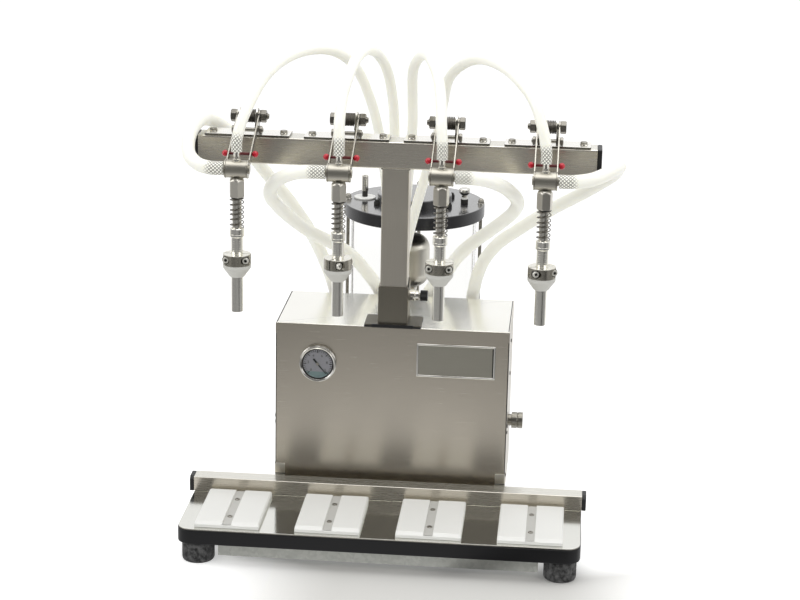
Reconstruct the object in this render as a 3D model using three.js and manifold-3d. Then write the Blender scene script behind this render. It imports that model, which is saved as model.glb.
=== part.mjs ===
// A bench-top vacuum filling machine with four swinging nozzles, in millimetres, +Z up.
// The origin is on the floor, under the middle of the base board. The nozzles face -Y.
import * as THREE from 'three';
import { mergeVertices } from 'three/addons/utils/BufferGeometryUtils.js';
import Module from 'manifold-3d';

const wasm = await Module();
wasm.setup();

// The gap between pieces, how far a tool overruns a cut, and how deep a weld sinks in
const seat = 0.3;
const overrun = 2;
const weld = 0.5;

// Feet, base board, top sheet and the rails under the board
const footDiameter = 47.5;
const footHeight = 32;
const footChamfer = 2;
const footInset = 28.5;
const boardWidth = 584;
const boardDepth = 686;
const boardThickness = 21;
const boardCorner = 24;
const wingDepth = 215;
const tongueWidth = 300;
const sheetThickness = 2;
const sheetInset = 1;
const railSize = 20;
const railInset = 13;
const railEndMargin = 60;
const railLength = boardWidth - 2 * railEndMargin;

// Bottle stations: four pads in front of a fence
const headCount = 4;
const headPitch = 146;
const padWidth = 94;
const padDepth = 132;
const padThickness = 8;
const padBevel = 7;
const padSideBevel = 2;
const padGrooveWidth = 13;
const padGrooveDepth = 2.5;
const padFrontMargin = 9;
const fenceHeight = 22;
const fenceDepth = 27;
const fenceLength = boardWidth;
const fenceWall = 2;
const fenceFrontSetback = 148;
const fenceCapThickness = 6;
const fenceCapRim = 1;
const fenceCapChamfer = 5;
const capPlugDepth = 10;

// Housing with its gauge, bare plate and side port
const boxWidth = 350;
const boxDepth = 170;
const boxHeight = 258;
const boxSetback = 193;
const boxWall = 1.5;
const boxTabWidth = 15;
const boxTabHeight = 34;
const boxTabThickness = 1.2;
const gaugeDiameter = 56;
const gaugeRim = 3.5;
const gaugeProud = 9;
const gaugeDialDrop = 3;
const gaugeBodyDiameter = 44;
const gaugeBodyDepth = 24;
const gaugeInset = 64.5;
const gaugeDown = 60.5;
const needleLength = 20;
const needleTail = 6;
const needleWidth = 2.4;
const needleThickness = 0.8;
const needleHubDiameter = 5;
const needleTurnShare = 0.39;
const plateWidth = 118;
const plateHeight = 52;
const plateThickness = 1;
const plateInset = 79;
const plateDown = 49;
const portDiameter = 25;
const portLength = 22;
const portBore = 14;
const portStemDiameter = 18;
const portSetback = 80;
const portHeight = 93;

// Vacuum pump inside the housing
const pumpMotorDiameter = 96;
const pumpMotorLength = 150;
const pumpHeadWidth = 70;
const pumpHeadDepth = 90;
const pumpHeadHeight = 110;
const pumpFootWidth = 200;
const pumpFootDepth = 80;
const pumpFootThickness = 6;
const pumpPortDiameter = 16;
const pumpPortLength = 22;
const pumpSetback = 112;
const pumpAcross = 10;

// Column, its socket and the clamp
const tubeSize = 40;
const tubeWall = 2;
const tubeRound = 2;
const columnSetback = 24;
const columnBelow = 130;
const socketWall = 2.7;
const socketInnerWall = 1.6;
const socketRise = 61;
const socketDrop = 60;
const socketPlateWidth = 84;
const socketPlateDepth = 50;
const socketPlateThickness = 3;
const clampRise = 44;
const clampBossDiameter = 17;
const clampBossLength = 14;
const clampStemDiameter = 8;
const clampKnobDiameter = 16;
const clampKnobLength = 11;
const clampKnobGap = 2;
const clampRimShare = 0.8;

// Beam that carries the heads
const beamHeight = 538;
const beamLength = 582;
const beamCapThickness = 7;

// Head brackets, their bolts and torsion springs
const bracketWidth = 125;
const bracketThickness = 3;
const bracketBoltSpan = 104;
const earThickness = 3;
const earRadius = 12;
const earFrontShare = 0.03;
const earRearShare = 0.9;
const pivotRise = 27;
const pivotBoltDiameter = 8;
const pivotHeadDiameter = 17;
const pivotHeadLength = 7;
const pivotNutLength = 8;
const pivotTailLength = 6;
const stopBoltDiameter = 6;
const stopHeadDiameter = 11;
const stopHeadLength = 4;
const stopForward = 14;
const plateBoltDiameter = 6;
const plateBoltHead = 11;
const plateBoltHeadHeight = 4;
const torsionWire = 1.8;
const torsionOuter = 20;
const torsionTurns = 4;
const torsionLeg = 12;

// Arms and the nozzle block
const armReach = 108;
const armDrop = 55;
const armGap = 30;
const armThickness = 2;
const armWaist = 12;
const armEyeDiameter = 18;
const armEndDiameter = 27;
const pinShare = 0.28;
const pinDiameter = 4.5;
const pinBallDiameter = 8.5;
const blockDiameter = 26;
const journalDiameter = 13;
const sideStubLength = 1.8;
const barbDiameter = 9;
const barbLength = 12;
const barbRidge = 0.8;
const domeNutDiameter = 21;
const domeNutHeight = 28;
const domeNutNeck = 14;
const domeNutCrown = 9;
const domeShoulderShare = 0.92;
const stemDiameter = 13.4;
const stemBore = 8;
const stemTipGap = 1.8;

// Sliding sleeve with its spring seat, level collar and bottle cone
const sleeveDiameter = 17;
const sleeveLength = 124.5;
const sleeveTravel = 18;
const seatRingDiameter = 21;
const seatRingHeight = 12.4;
const collarDiameter = 40.5;
const collarHeight = 15.5;
const collarAboveTip = 71;
const collarSlit = 1.6;
const collarScrewHead = 8;
const collarScrewHeadLength = 5;
const collarScrewAcross = 13.6;
const collarScrewLength = 24;
const coneHeight = 18.5;
const coneBand = 5;
const coneTipDiameter = 21;
const springWire = 1.5;
const springOuter = 21;
const springTurns = 6;
const springPitch = 7.55;
const coilSteps = 8;
const wireSides = 5;

// Overflow vessel behind the housing
const vesselSetback = 569;
const vesselBaseHeight = 20;
const vesselRimDiameter = 231;
const vesselRimChamfer = 1.5;
const glassDiameter = 207;
const glassWall = 5;
const glassHeight = 318;
const lidThickness = 21;
const lidBossDiameter = 122;
const lidBossHeight = 14;
const tieRodDiameter = 6;
const tieRodCircle = 219;
const tieRodNutDiameter = 11;
const tieRodNutHeight = 9;
const tieRodTail = 3;
const lidStudCount = 6;
const lidStudCircle = 136;
const lidStudDiameter = 7;
const lidStudHeight = 8;
const breatherAcross = 83;
const breatherBack = 9;
const breatherDiameter = 11;
const breatherHeight = 38;
const breatherBore = 7;
const breatherWasherDiameter = 36;
const breatherWasherThickness = 3;
const knobAcross = 82;
const knobDiameter = 19;
const knobHeight = 9;
const knobCrownShare = 0.8;
const knobNeckDiameter = 12;
const knobNeckHeight = 16;
const knobPostDiameter = 6;
const knobPostHeight = 9;
const floatDiameter = 54;
const floatHeight = 92;
const floatDome = 16;
const floatPoleShare = 0.45;
const floatShoulderShare = 0.85;
const floatCurveShare = 0.35;
const floatTravel = 18;
const floatRodDiameter = 6;
const floatTopGap = 14.7;
const floatStopDiameter = 14;
const floatStopHeight = 5;

// Hose manifold behind the housing
const manifoldSetback = 217;
const manifoldDiameter = 30;
const manifoldWall = 4;
const manifoldLength = 268;
const manifoldDrop = 58;
const manifoldPitch = 72;
const manifoldBarbDiameter = 13;
const manifoldBarbTop = 26;
const manifoldPostDiameter = 12;
const manifoldPostSpan = 160;
const vacuumBlockWidth = 44;
const vacuumBlockDepth = 40;
const vacuumBlockHeight = 20;
const vacuumBlockAcross = -18;
const vacuumBarbSpanX = 20;
const vacuumBarbSpanY = 19;

// Hoses: the thick ones feed product, the thin ones draw vacuum
const productHoseDiameter = 20;
const vacuumHoseDiameter = 16;
const hoseSides = 8;
const hoseStepDiameters = 3;

// Places worked out from the sizes above
const boardFrontY = -boardDepth / 2;
const boardBottomZ = footHeight + seat;
const sheetBottomZ = boardBottomZ + boardThickness + seat;
const trayTopZ = sheetBottomZ + sheetThickness;
const boxFrontY = boardFrontY + boxSetback;
const boxRearY = boxFrontY + boxDepth;
const boxBottomZ = trayTopZ + seat;
const boxTopZ = boxBottomZ + boxHeight;
const columnY = boxFrontY + columnSetback;
const beamBottomZ = trayTopZ + beamHeight - tubeSize;
const beamTopZ = beamBottomZ + tubeSize;
const bracketBottomZ = beamTopZ + seat;
const pivotZ = beamTopZ + pivotRise;
const nozzleY = columnY - armReach;
const blockZ = pivotZ - armDrop;
const armLength = Math.hypot(armReach, armDrop);
const armTilt = Math.atan2(armDrop, armReach);
const nutBottomZ = blockZ - blockDiameter / 2 - domeNutHeight;
const springLength = springTurns * springPitch;
const stemLength = springLength + sleeveLength - sleeveTravel - stemTipGap;
const sleeveTopZ = nutBottomZ - springLength;
const tipZ = sleeveTopZ - sleeveLength;
const collarBottomZ = tipZ + collarAboveTip;
const vesselY = boardFrontY + vesselSetback;
const vesselBaseZ = trayTopZ + seat;
const glassBottomZ = vesselBaseZ + vesselBaseHeight + seat;
const lidBottomZ = glassBottomZ + glassHeight + seat;
const lidTopZ = lidBottomZ + lidThickness;
const floatRodLength = floatStopHeight + seat + floatHeight + floatTravel + floatTopGap;
const manifoldY = boxFrontY + manifoldSetback - manifoldDiameter / 2;
const manifoldZ = boxTopZ - manifoldDrop;

const finish = {
  brushed: new THREE.MeshStandardMaterial({ color: 0x9a958a, roughness: 0.38, metalness: 1 }),
  polished: new THREE.MeshStandardMaterial({ color: 0xc4c3c0, roughness: 0.15, metalness: 1 }),
  galvanised: new THREE.MeshStandardMaterial({ color: 0xa9afae, roughness: 0.5, metalness: 0.9 }),
  castAluminium: new THREE.MeshStandardMaterial({ color: 0x9fa3a6, roughness: 0.6, metalness: 0.8 }),
  springSteel: new THREE.MeshStandardMaterial({ color: 0x6f6b64, roughness: 0.35, metalness: 1 }),
  blackPlastic: new THREE.MeshStandardMaterial({ color: 0x2a2a2e, roughness: 0.55, metalness: 0 }),
  lidPlastic: new THREE.MeshStandardMaterial({ color: 0x3a3c40, roughness: 0.4, metalness: 0 }),
  rubber: new THREE.MeshStandardMaterial({ color: 0x5a5c60, roughness: 0.85, metalness: 0 }),
  whitePlastic: new THREE.MeshStandardMaterial({ color: 0xe6e8e4, roughness: 0.45, metalness: 0 }),
  redPlastic: new THREE.MeshStandardMaterial({ color: 0xc01828, roughness: 0.35, metalness: 0 }),
  glass: new THREE.MeshStandardMaterial({ color: 0xe8f0ee, roughness: 0.05, transparent: true, opacity: 0.35 }),
  hose: new THREE.MeshStandardMaterial({ color: 0xeeeedc, roughness: 0.3, metalness: 0 }),
  dial: new THREE.MeshStandardMaterial({ color: 0xcfdbe0, roughness: 0.4, metalness: 0.2 }),
};

const machine = new THREE.Group();

// Adds one named piece, a single closed solid, to a group
function piece(parent, name, material, solid) {
  const mesh = new THREE.Mesh(closed(solid), material);
  mesh.name = name;
  parent.add(mesh);
  return mesh;
}

// Shares the vertices, drops the slivers of a pole and turns the faces outward
function closed(source) {
  const bare = source.clone();
  bare.deleteAttribute('normal');
  bare.deleteAttribute('uv');
  const welded = mergeVertices(bare, 1e-4);
  const at = welded.attributes.position;
  const corner = (i) => new THREE.Vector3().fromBufferAttribute(at, i);
  const kept = [];
  let volume = 0;
  for (let i = 0; i < welded.index.count; i += 3) {
    const [a, b, c] = [0, 1, 2].map((k) => welded.index.getX(i + k));
    if (a !== b && b !== c && c !== a) {
      kept.push(a, b, c);
      volume += corner(a).dot(corner(b).cross(corner(c)));
    }
  }
  if (volume < 0) {
    kept.reverse();
  }
  const result = new THREE.BufferGeometry();
  result.setAttribute('position', at);
  result.setIndex(kept);
  return result;
}

function toManifold(geometry) {
  const tidy = closed(geometry);
  const vertProperties = new Float32Array(tidy.attributes.position.array);
  const triVerts = new Uint32Array(tidy.index.array);
  return new wasm.Manifold(new wasm.Mesh({ numProp: 3, vertProperties, triVerts }));
}

function fromManifold(body) {
  const mesh = body.getMesh();
  const result = new THREE.BufferGeometry();
  result.setAttribute('position', new THREE.BufferAttribute(mesh.vertProperties, 3));
  result.setIndex(Array.from(mesh.triVerts));
  return result;
}

function join(...geometries) {
  return fromManifold(geometries.map(toManifold).reduce((whole, part) => whole.add(part)));
}

function cut(geometry, ...tools) {
  return fromManifold(tools.map(toManifold).reduce((whole, tool) => whole.subtract(tool), toManifold(geometry)));
}

function common(first, second) {
  return fromManifold(toManifold(first).intersect(toManifold(second)));
}

// Basic forms: each stands on Z = 0, or starts at X = 0, and is centred on its axis
function block(width, depth, height) {
  return new THREE.BoxGeometry(width, depth, height).translate(0, 0, height / 2);
}

function rod(diameter, length, sides = 16) {
  const form = new THREE.CylinderGeometry(diameter / 2, diameter / 2, length, sides);
  return form.rotateX(Math.PI / 2).translate(0, 0, length / 2);
}

function rodAlongX(diameter, length, sides = 16) {
  return rod(diameter, length, sides).rotateY(Math.PI / 2);
}

function hexRod(diameter, length) {
  return rod(diameter, length, 6);
}

// A round hole for a shaft: even its flats clear the shaft by the seat gap
function bored(diameter, sides) {
  return (diameter + 2 * seat) / Math.cos(Math.PI / sides);
}

// A turned form about Z from [radius, height] pairs
function turned(profile, sides = 20) {
  const points = profile.map(([radius, height]) => new THREE.Vector2(radius, height));
  return new THREE.LatheGeometry(points, sides).rotateX(Math.PI / 2);
}

function prism(shape, thickness, curveSegments = 6) {
  return new THREE.ExtrudeGeometry(shape, { depth: thickness, bevelEnabled: false, curveSegments });
}

// Turns a form drawn in its side view, with Y across and Z up, so that it is thick along X
function sideways(geometry) {
  const across = new THREE.Matrix4().makeBasis(
    new THREE.Vector3(0, 1, 0),
    new THREE.Vector3(0, 0, 1),
    new THREE.Vector3(1, 0, 0),
  );
  return geometry.applyMatrix4(across);
}

function outline(points) {
  return new THREE.Shape(points.map(([x, y]) => new THREE.Vector2(x, y)));
}

function roundedSquare(size, radius) {
  const half = size / 2;
  const flat = half - radius;
  const shape = new THREE.Shape();
  shape.moveTo(-flat, -half);
  shape.lineTo(flat, -half);
  shape.absarc(flat, -flat, radius, -Math.PI / 2, 0);
  shape.lineTo(half, flat);
  shape.absarc(flat, flat, radius, 0, Math.PI / 2);
  shape.lineTo(-flat, half);
  shape.absarc(-flat, flat, radius, Math.PI / 2, Math.PI);
  shape.lineTo(-half, -flat);
  shape.absarc(-flat, -flat, radius, Math.PI, 1.5 * Math.PI);
  return shape;
}

// A square tube along Z with rounded outer edges
function squareTube(size, wall, round, length) {
  const section = roundedSquare(size, round);
  section.holes.push(roundedSquare(size - 2 * wall, round / 2));
  return prism(section, length, 2);
}

// A coil about Z that starts on +X, with a straight leg on a tangent at each end
function coil(meanRadius, wire, turns, height, leg, firstLeg = leg) {
  const steps = Math.round(turns * coilSteps);
  const line = [];
  for (let i = 0; i <= steps; i += 1) {
    const angle = (i / coilSteps) * 2 * Math.PI;
    const rise = height * (i / steps);
    line.push(new THREE.Vector3(meanRadius * Math.cos(angle), meanRadius * Math.sin(angle), rise));
  }
  const last = (steps / coilSteps) * 2 * Math.PI;
  const end = line[line.length - 1];
  line.unshift(line[0].clone().add(new THREE.Vector3(0, -firstLeg, 0)));
  line.push(end.clone().add(new THREE.Vector3(-leg * Math.sin(last), leg * Math.cos(last), 0)));
  return line;
}

// Sweeps a five-sided wire along a line of points, with flat ends
function wireTube(line, wire) {
  const sides = wireSides;
  const positions = [];
  const faces = [];
  const radius = wire / 2;
  let across = new THREE.Vector3(0, 0, 1);
  line.forEach((point, i) => {
    const before = line[Math.max(i - 1, 0)];
    const after = line[Math.min(i + 1, line.length - 1)];
    const along = after.clone().sub(before).normalize();
    across = across.sub(along.clone().multiplyScalar(across.dot(along))).normalize();
    const other = along.clone().cross(across);
    for (let k = 0; k < sides; k += 1) {
      const angle = (k / sides) * 2 * Math.PI;
      const corner = point.clone().addScaledVector(across, radius * Math.cos(angle));
      positions.push(...corner.addScaledVector(other, radius * Math.sin(angle)).toArray());
    }
  });
  for (let i = 0; i + 1 < line.length; i += 1) {
    for (let k = 0; k < sides; k += 1) {
      const [a, b] = [i * sides + k, i * sides + ((k + 1) % sides)];
      faces.push(a, b, b + sides, a, b + sides, a + sides);
    }
  }
  const top = (line.length - 1) * sides;
  for (let k = 1; k + 1 < sides; k += 1) {
    faces.push(0, k + 1, k, top, top + k, top + k + 1);
  }
  const tube = new THREE.BufferGeometry();
  tube.setAttribute('position', new THREE.Float32BufferAttribute(positions, 3));
  tube.setIndex(faces);
  return tube;
}

// The least space between points of a coil that are half a turn or more apart, less the wire
function leastGap(line, wire) {
  let least = Infinity;
  line.forEach((point, i) => {
    line.slice(i + 5).forEach((other) => {
      least = Math.min(least, point.distanceTo(other) - wire);
    });
  });
  return least;
}

function stationX(index) {
  return (index - (headCount - 1) / 2) * headPitch;
}

// Base: feet, board, sheet and rails
function boardOutline(inset) {
  const radius = boardCorner - inset;
  const halfWidth = boardWidth / 2 - inset;
  const halfTongue = tongueWidth / 2 - inset;
  const front = boardFrontY + inset;
  const wingRear = boardFrontY + wingDepth - inset;
  const rear = boardDepth / 2 - inset;
  const shape = new THREE.Shape();
  shape.moveTo(-halfWidth + radius, front);
  shape.lineTo(halfWidth - radius, front);
  shape.absarc(halfWidth - radius, front + radius, radius, -Math.PI / 2, 0);
  shape.lineTo(halfWidth, wingRear - radius);
  shape.absarc(halfWidth - radius, wingRear - radius, radius, 0, Math.PI / 2);
  shape.lineTo(halfTongue, wingRear);
  shape.lineTo(halfTongue, rear - radius);
  shape.absarc(halfTongue - radius, rear - radius, radius, 0, Math.PI / 2);
  shape.lineTo(-halfTongue + radius, rear);
  shape.absarc(-halfTongue + radius, rear - radius, radius, Math.PI / 2, Math.PI);
  shape.lineTo(-halfTongue, wingRear);
  shape.lineTo(-halfWidth + radius, wingRear);
  shape.absarc(-halfWidth + radius, wingRear - radius, radius, Math.PI / 2, Math.PI);
  shape.lineTo(-halfWidth, front + radius);
  shape.absarc(-halfWidth + radius, front + radius, radius, Math.PI, 1.5 * Math.PI);
  return shape;
}

function makeBase() {
  const board = piece(machine, 'base_board', finish.blackPlastic, prism(boardOutline(0), boardThickness, 4));
  board.position.z = boardBottomZ;
  const sheet = piece(machine, 'top_sheet', finish.polished, prism(boardOutline(sheetInset), sheetThickness, 4));
  sheet.position.z = sheetBottomZ;

  const frontFootX = boardWidth / 2 - footInset;
  const rearFootX = tongueWidth / 2 - footInset;
  const footY = boardDepth / 2 - footInset;
  const footProfile = [
    [0, 0],
    [footDiameter / 2 - footChamfer, 0],
    [footDiameter / 2, footChamfer],
    [footDiameter / 2, footHeight],
    [0, footHeight],
  ];
  const footPlaces = [[-frontFootX, -footY], [frontFootX, -footY], [-rearFootX, footY], [rearFootX, footY]];
  footPlaces.forEach(([x, y], i) => {
    piece(machine, `foot_${i + 1}`, finish.rubber, turned(footProfile, 16)).position.set(x, y, 0);
  });

  const railZ = footHeight - railSize;
  const frontY = boardFrontY + railInset + railSize / 2;
  const crossY = boardFrontY + wingDepth - railInset - railSize / 2;
  const sideX = (railLength - railSize) / 2;
  const sideLength = crossY - frontY;
  const tongueX = (tongueWidth - railSize) / 2 - railInset;
  const tongueRearY = footY - footDiameter / 2 - railInset;
  const tongueLength = tongueRearY - crossY;
  const rails = [
    block(railLength, railSize, railSize).translate(0, frontY, railZ),
    block(railLength, railSize, railSize).translate(0, crossY, railZ),
  ];
  for (const side of [-1, 1]) {
    rails.push(block(railSize, sideLength, railSize).translate(side * sideX, (frontY + crossY) / 2, railZ));
    const middleY = (crossY + tongueRearY) / 2;
    rails.push(block(railSize, tongueLength, railSize).translate(side * tongueX, middleY, railZ));
  }
  piece(machine, 'under_frame', finish.galvanised, join(...rails));
}

// One pad: its long section with a groove, met by its side view with the bevelled front
function padForm() {
  const half = padWidth / 2;
  const groove = padGrooveWidth / 2;
  const shoulder = padThickness - padSideBevel;
  const section = outline([
    [-half, 0],
    [half, 0],
    [half, shoulder],
    [half - padSideBevel, padThickness],
    [groove, padThickness],
    [groove, padThickness - padGrooveDepth],
    [-groove, padThickness - padGrooveDepth],
    [-groove, padThickness],
    [-half + padSideBevel, padThickness],
    [-half, shoulder],
  ]);
  const side = outline([
    [0, 0],
    [padDepth, 0],
    [padDepth, shoulder],
    [padDepth - padSideBevel, padThickness],
    [padBevel, padThickness],
    [0, padThickness - padBevel / 2],
  ]);
  const long = prism(section, padDepth).rotateX(Math.PI / 2).translate(0, padDepth, 0);
  const cross = sideways(prism(side, padWidth + 2 * overrun)).translate(-half - overrun, 0, 0);
  return common(long, cross);
}

function makeStations() {
  const padFrontY = boardFrontY + padFrontMargin;
  for (let i = 0; i < headCount; i += 1) {
    const pad = piece(machine, `bottle_pad_${i + 1}`, finish.whitePlastic, padForm());
    pad.position.set(stationX(i), padFrontY, trayTopZ + seat);
  }

  const fenceY = boardFrontY + fenceFrontSetback;
  const fenceZ = trayTopZ + seat;
  const section = outline([
    [0, 0],
    [fenceDepth, 0],
    [fenceDepth, fenceHeight],
    [0, fenceHeight],
  ]);
  const bore = [
    [fenceWall, fenceWall],
    [fenceWall, fenceHeight - fenceWall],
    [fenceDepth - fenceWall, fenceHeight - fenceWall],
    [fenceDepth - fenceWall, fenceWall],
  ];
  section.holes.push(outline(bore));
  const bar = sideways(prism(section, fenceLength)).translate(-fenceLength / 2, fenceY, fenceZ);
  piece(machine, 'fence_bar', finish.brushed, bar);

  const capOutline = outline([
    [-fenceCapRim, 0],
    [fenceDepth + fenceCapRim, 0],
    [fenceDepth + fenceCapRim, fenceHeight + fenceCapRim - fenceCapChamfer],
    [fenceDepth + fenceCapRim - fenceCapChamfer, fenceHeight + fenceCapRim],
    [fenceCapChamfer - fenceCapRim, fenceHeight + fenceCapRim],
    [-fenceCapRim, fenceHeight + fenceCapRim - fenceCapChamfer],
  ]);
  const plugInset = fenceWall + seat;
  for (const side of [-1, 1]) {
    const outer = sideways(prism(capOutline, fenceCapThickness)).translate(seat, 0, 0);
    const plug = block(capPlugDepth, fenceDepth - 2 * plugInset, fenceHeight - 2 * plugInset);
    plug.translate(seat - capPlugDepth / 2 + fenceCapThickness / 2, fenceDepth / 2, plugInset);
    const form = join(outer, plug);
    if (side < 0) {
      form.rotateZ(Math.PI).translate(0, fenceDepth, 0);
    }
    const cap = piece(machine, side < 0 ? 'fence_cap_left' : 'fence_cap_right', finish.blackPlastic, form);
    cap.position.set((side * fenceLength) / 2, fenceY, fenceZ);
  }
}

// Housing: a folded shell, open below, with the holes that its fittings pass through
function makeHousing() {
  const boxY = boxFrontY + boxDepth / 2;
  const inside = block(boxWidth - 2 * boxWall, boxDepth - 2 * boxWall, boxHeight - boxWall + overrun);
  const socketHole = tubeSize + 2 * (socketInnerWall + seat) + 2 * seat;
  const columnHole = block(socketHole, socketHole, boxWall + 2 * overrun);
  const gaugeHole = rod(bored(gaugeBodyDiameter, 24), boxWall + 2 * overrun, 24).rotateX(Math.PI / 2);
  const portHole = rodAlongX(bored(portStemDiameter, 16), boxWall + 2 * overrun, 16);
  const shell = cut(
    block(boxWidth, boxDepth, boxHeight),
    inside.translate(0, 0, -overrun),
    columnHole.translate(0, columnY - boxY, boxHeight - boxWall - overrun),
    gaugeHole.translate(gaugeInset - boxWidth / 2, -boxDepth / 2 + boxWall + overrun, boxHeight - gaugeDown),
    portHole.translate(boxWidth / 2 - boxWall - overrun, portSetback - boxDepth / 2, portHeight),
  );
  const tabs = [-1, 1].map((side) => {
    const tab = block(boxTabWidth, boxTabThickness + weld, boxTabHeight);
    const x = side * (boxWidth - boxTabWidth) / 2;
    return tab.translate(x, (weld - boxDepth - boxTabThickness) / 2, 0);
  });
  const plate = block(plateWidth, plateThickness + weld, plateHeight);
  const plateY = (weld - boxDepth - plateThickness) / 2;
  plate.translate(boxWidth / 2 - plateInset, plateY, boxHeight - plateDown - plateHeight / 2);
  const housing = piece(machine, 'housing', finish.brushed, join(shell, ...tabs, plate));
  housing.position.set(0, boxY, boxBottomZ);
}

// Gauge: a cup through the front panel, with the dial set back inside its bright rim
function makeGauge() {
  const rim = gaugeDiameter / 2;
  const dial = rim - gaugeRim;
  const profile = [
    [0, -gaugeBodyDepth],
    [gaugeBodyDiameter / 2, -gaugeBodyDepth],
    [gaugeBodyDiameter / 2, seat],
    [rim, seat],
    [rim, gaugeProud - gaugeRim / 2],
    [rim - gaugeRim / 2, gaugeProud],
    [dial, gaugeProud - gaugeRim / 4],
    [dial, gaugeProud - gaugeDialDrop],
    [0, gaugeProud - gaugeDialDrop],
  ];
  const place = [gaugeInset - boxWidth / 2, boxFrontY, boxTopZ - gaugeDown];
  const gauge = piece(machine, 'gauge_case', finish.dial, turned(profile, 24).rotateX(Math.PI / 2));
  gauge.position.set(...place);

  const half = needleWidth / 2;
  const pointer = outline([
    [-half, -needleTail],
    [half, -needleTail],
    [half / 2, needleLength],
    [-half / 2, needleLength],
  ]);
  const needle = join(prism(pointer, needleThickness), rod(needleHubDiameter, needleThickness + seat, 10));
  needle.rotateZ(-2 * Math.PI * needleTurnShare).rotateX(Math.PI / 2);
  const mesh = piece(machine, 'gauge_needle', finish.blackPlastic, needle);
  mesh.position.set(place[0], place[1] - (gaugeProud - gaugeDialDrop) - seat, place[2]);
}

function makeSidePort() {
  const profile = [
    [portBore / 2, -boxWall - portLength / 2],
    [portStemDiameter / 2, -boxWall - portLength / 2],
    [portStemDiameter / 2, seat],
    [portDiameter / 2, seat],
    [portDiameter / 2, portLength],
    [portBore / 2, portLength],
    [portBore / 2, -boxWall - portLength / 2],
  ];
  const port = piece(machine, 'side_port', finish.polished, turned(profile, 16).rotateY(Math.PI / 2));
  port.position.set(boxWidth / 2, boxFrontY + portSetback, boxBottomZ + portHeight);
}

// Pump: a motor drum and a pump head on one foot plate
function makePump() {
  const drumZ = pumpFootThickness + pumpMotorDiameter / 2;
  const headX = (pumpMotorLength + pumpHeadWidth) / 2;
  const drum = rodAlongX(pumpMotorDiameter, pumpMotorLength, 20).translate(-pumpMotorLength / 2, 0, drumZ);
  const head = block(pumpHeadWidth + overrun, pumpHeadDepth, pumpHeadHeight - pumpFootThickness);
  head.translate(headX - overrun / 2, 0, pumpFootThickness - seat);
  const foot = block(pumpFootWidth, pumpFootDepth, pumpFootThickness + overrun).translate(pumpHeadWidth / 2, 0, 0);
  const port = rod(pumpPortDiameter, pumpPortLength + overrun, 12);
  port.translate(headX, 0, pumpHeadHeight - overrun);
  const pump = piece(machine, 'vacuum_pump', finish.castAluminium, join(drum, head, foot, port));
  pump.position.set(pumpAcross - pumpHeadWidth / 2, boxFrontY + pumpSetback, boxBottomZ);
}

// Socket on the housing, with its wings, guide tube and clamp boss
function makeSocket() {
  const outer = tubeSize + 2 * (socketWall + seat);
  const bore = tubeSize + 2 * seat;
  const innerGuide = tubeSize + 2 * (socketInnerWall + seat);
  const guide = squareTube(outer, socketWall, tubeRound, socketRise);
  const below = squareTube(innerGuide, socketInnerWall, tubeRound, socketDrop + weld).translate(0, 0, -socketDrop);
  const wings = cut(
    block(socketPlateWidth, socketPlateDepth, socketPlateThickness),
    block(bore + socketWall, bore + socketWall, socketPlateThickness + 2 * overrun).translate(0, 0, -overrun),
  );
  const boss = rodAlongX(clampBossDiameter, clampBossLength + socketWall / 2);
  boss.translate(outer / 2 - socketWall / 2, 0, clampRise);
  const hole = rodAlongX(bored(clampStemDiameter, 12), clampBossLength + socketWall + 2 * overrun, 12);
  hole.translate(outer / 2 - socketWall - overrun, 0, clampRise);
  const socket = piece(machine, 'column_socket', finish.brushed, cut(join(guide, below, wings, boss), hole));
  socket.position.set(0, columnY, boxTopZ + seat);

  const stemStart = tubeSize / 2 + seat;
  const bossEnd = outer / 2 + clampBossLength;
  const knobStart = bossEnd + clampKnobGap;
  const stem = clampStemDiameter / 2;
  const knob = clampKnobDiameter / 2;
  const profile = [
    [0, stemStart],
    [stem, stemStart],
    [stem, knobStart],
    [knob * clampRimShare, knobStart],
    [knob, knobStart + clampKnobLength * (1 - clampRimShare)],
    [knob, knobStart + clampKnobLength * clampRimShare],
    [knob * clampRimShare, knobStart + clampKnobLength],
    [0, knobStart + clampKnobLength],
  ];
  const clamp = piece(machine, 'clamp_knob', finish.blackPlastic, turned(profile, 12).rotateY(Math.PI / 2));
  clamp.position.set(0, columnY, boxTopZ + seat + clampRise);
}

// Column and beam are one weldment, open inside from the foot of the column to the beam
function makeColumn() {
  const bottomZ = boxTopZ - columnBelow;
  const rise = beamBottomZ - bottomZ;
  const column = squareTube(tubeSize, tubeWall, tubeRound, rise + weld);
  const bar = squareTube(tubeSize, tubeWall, tubeRound, beamLength).rotateY(Math.PI / 2);
  const cap = prism(roundedSquare(tubeSize, tubeRound), beamCapThickness + weld, 2).rotateY(Math.PI / 2);
  const bore = tubeSize - 2 * (tubeWall + tubeRound);
  const caps = [beamLength / 2 - weld, -beamLength / 2 - beamCapThickness].map((x) => cap.clone().translate(x, 0, 0));
  const beam = join(bar.translate(-beamLength / 2, 0, 0), ...caps).translate(0, 0, rise + tubeSize / 2);
  const opening = block(bore, bore, tubeWall + 2 * overrun).translate(0, 0, rise - overrun);
  const frame = piece(machine, 'column_frame', finish.brushed, cut(join(column, beam), opening));
  frame.position.set(0, columnY, bottomZ);
}

// Bracket: a plate on the beam with two ears that carry the pivot bolt and the stop bolt
const earOuter = armGap / 2 - seat;
const stopBelow = (armWaist / 2 + stopBoltDiameter / 2 + seat) / Math.cos(armTilt);
const stopZ = pivotZ - stopForward * Math.tan(armTilt) - stopBelow;

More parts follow.
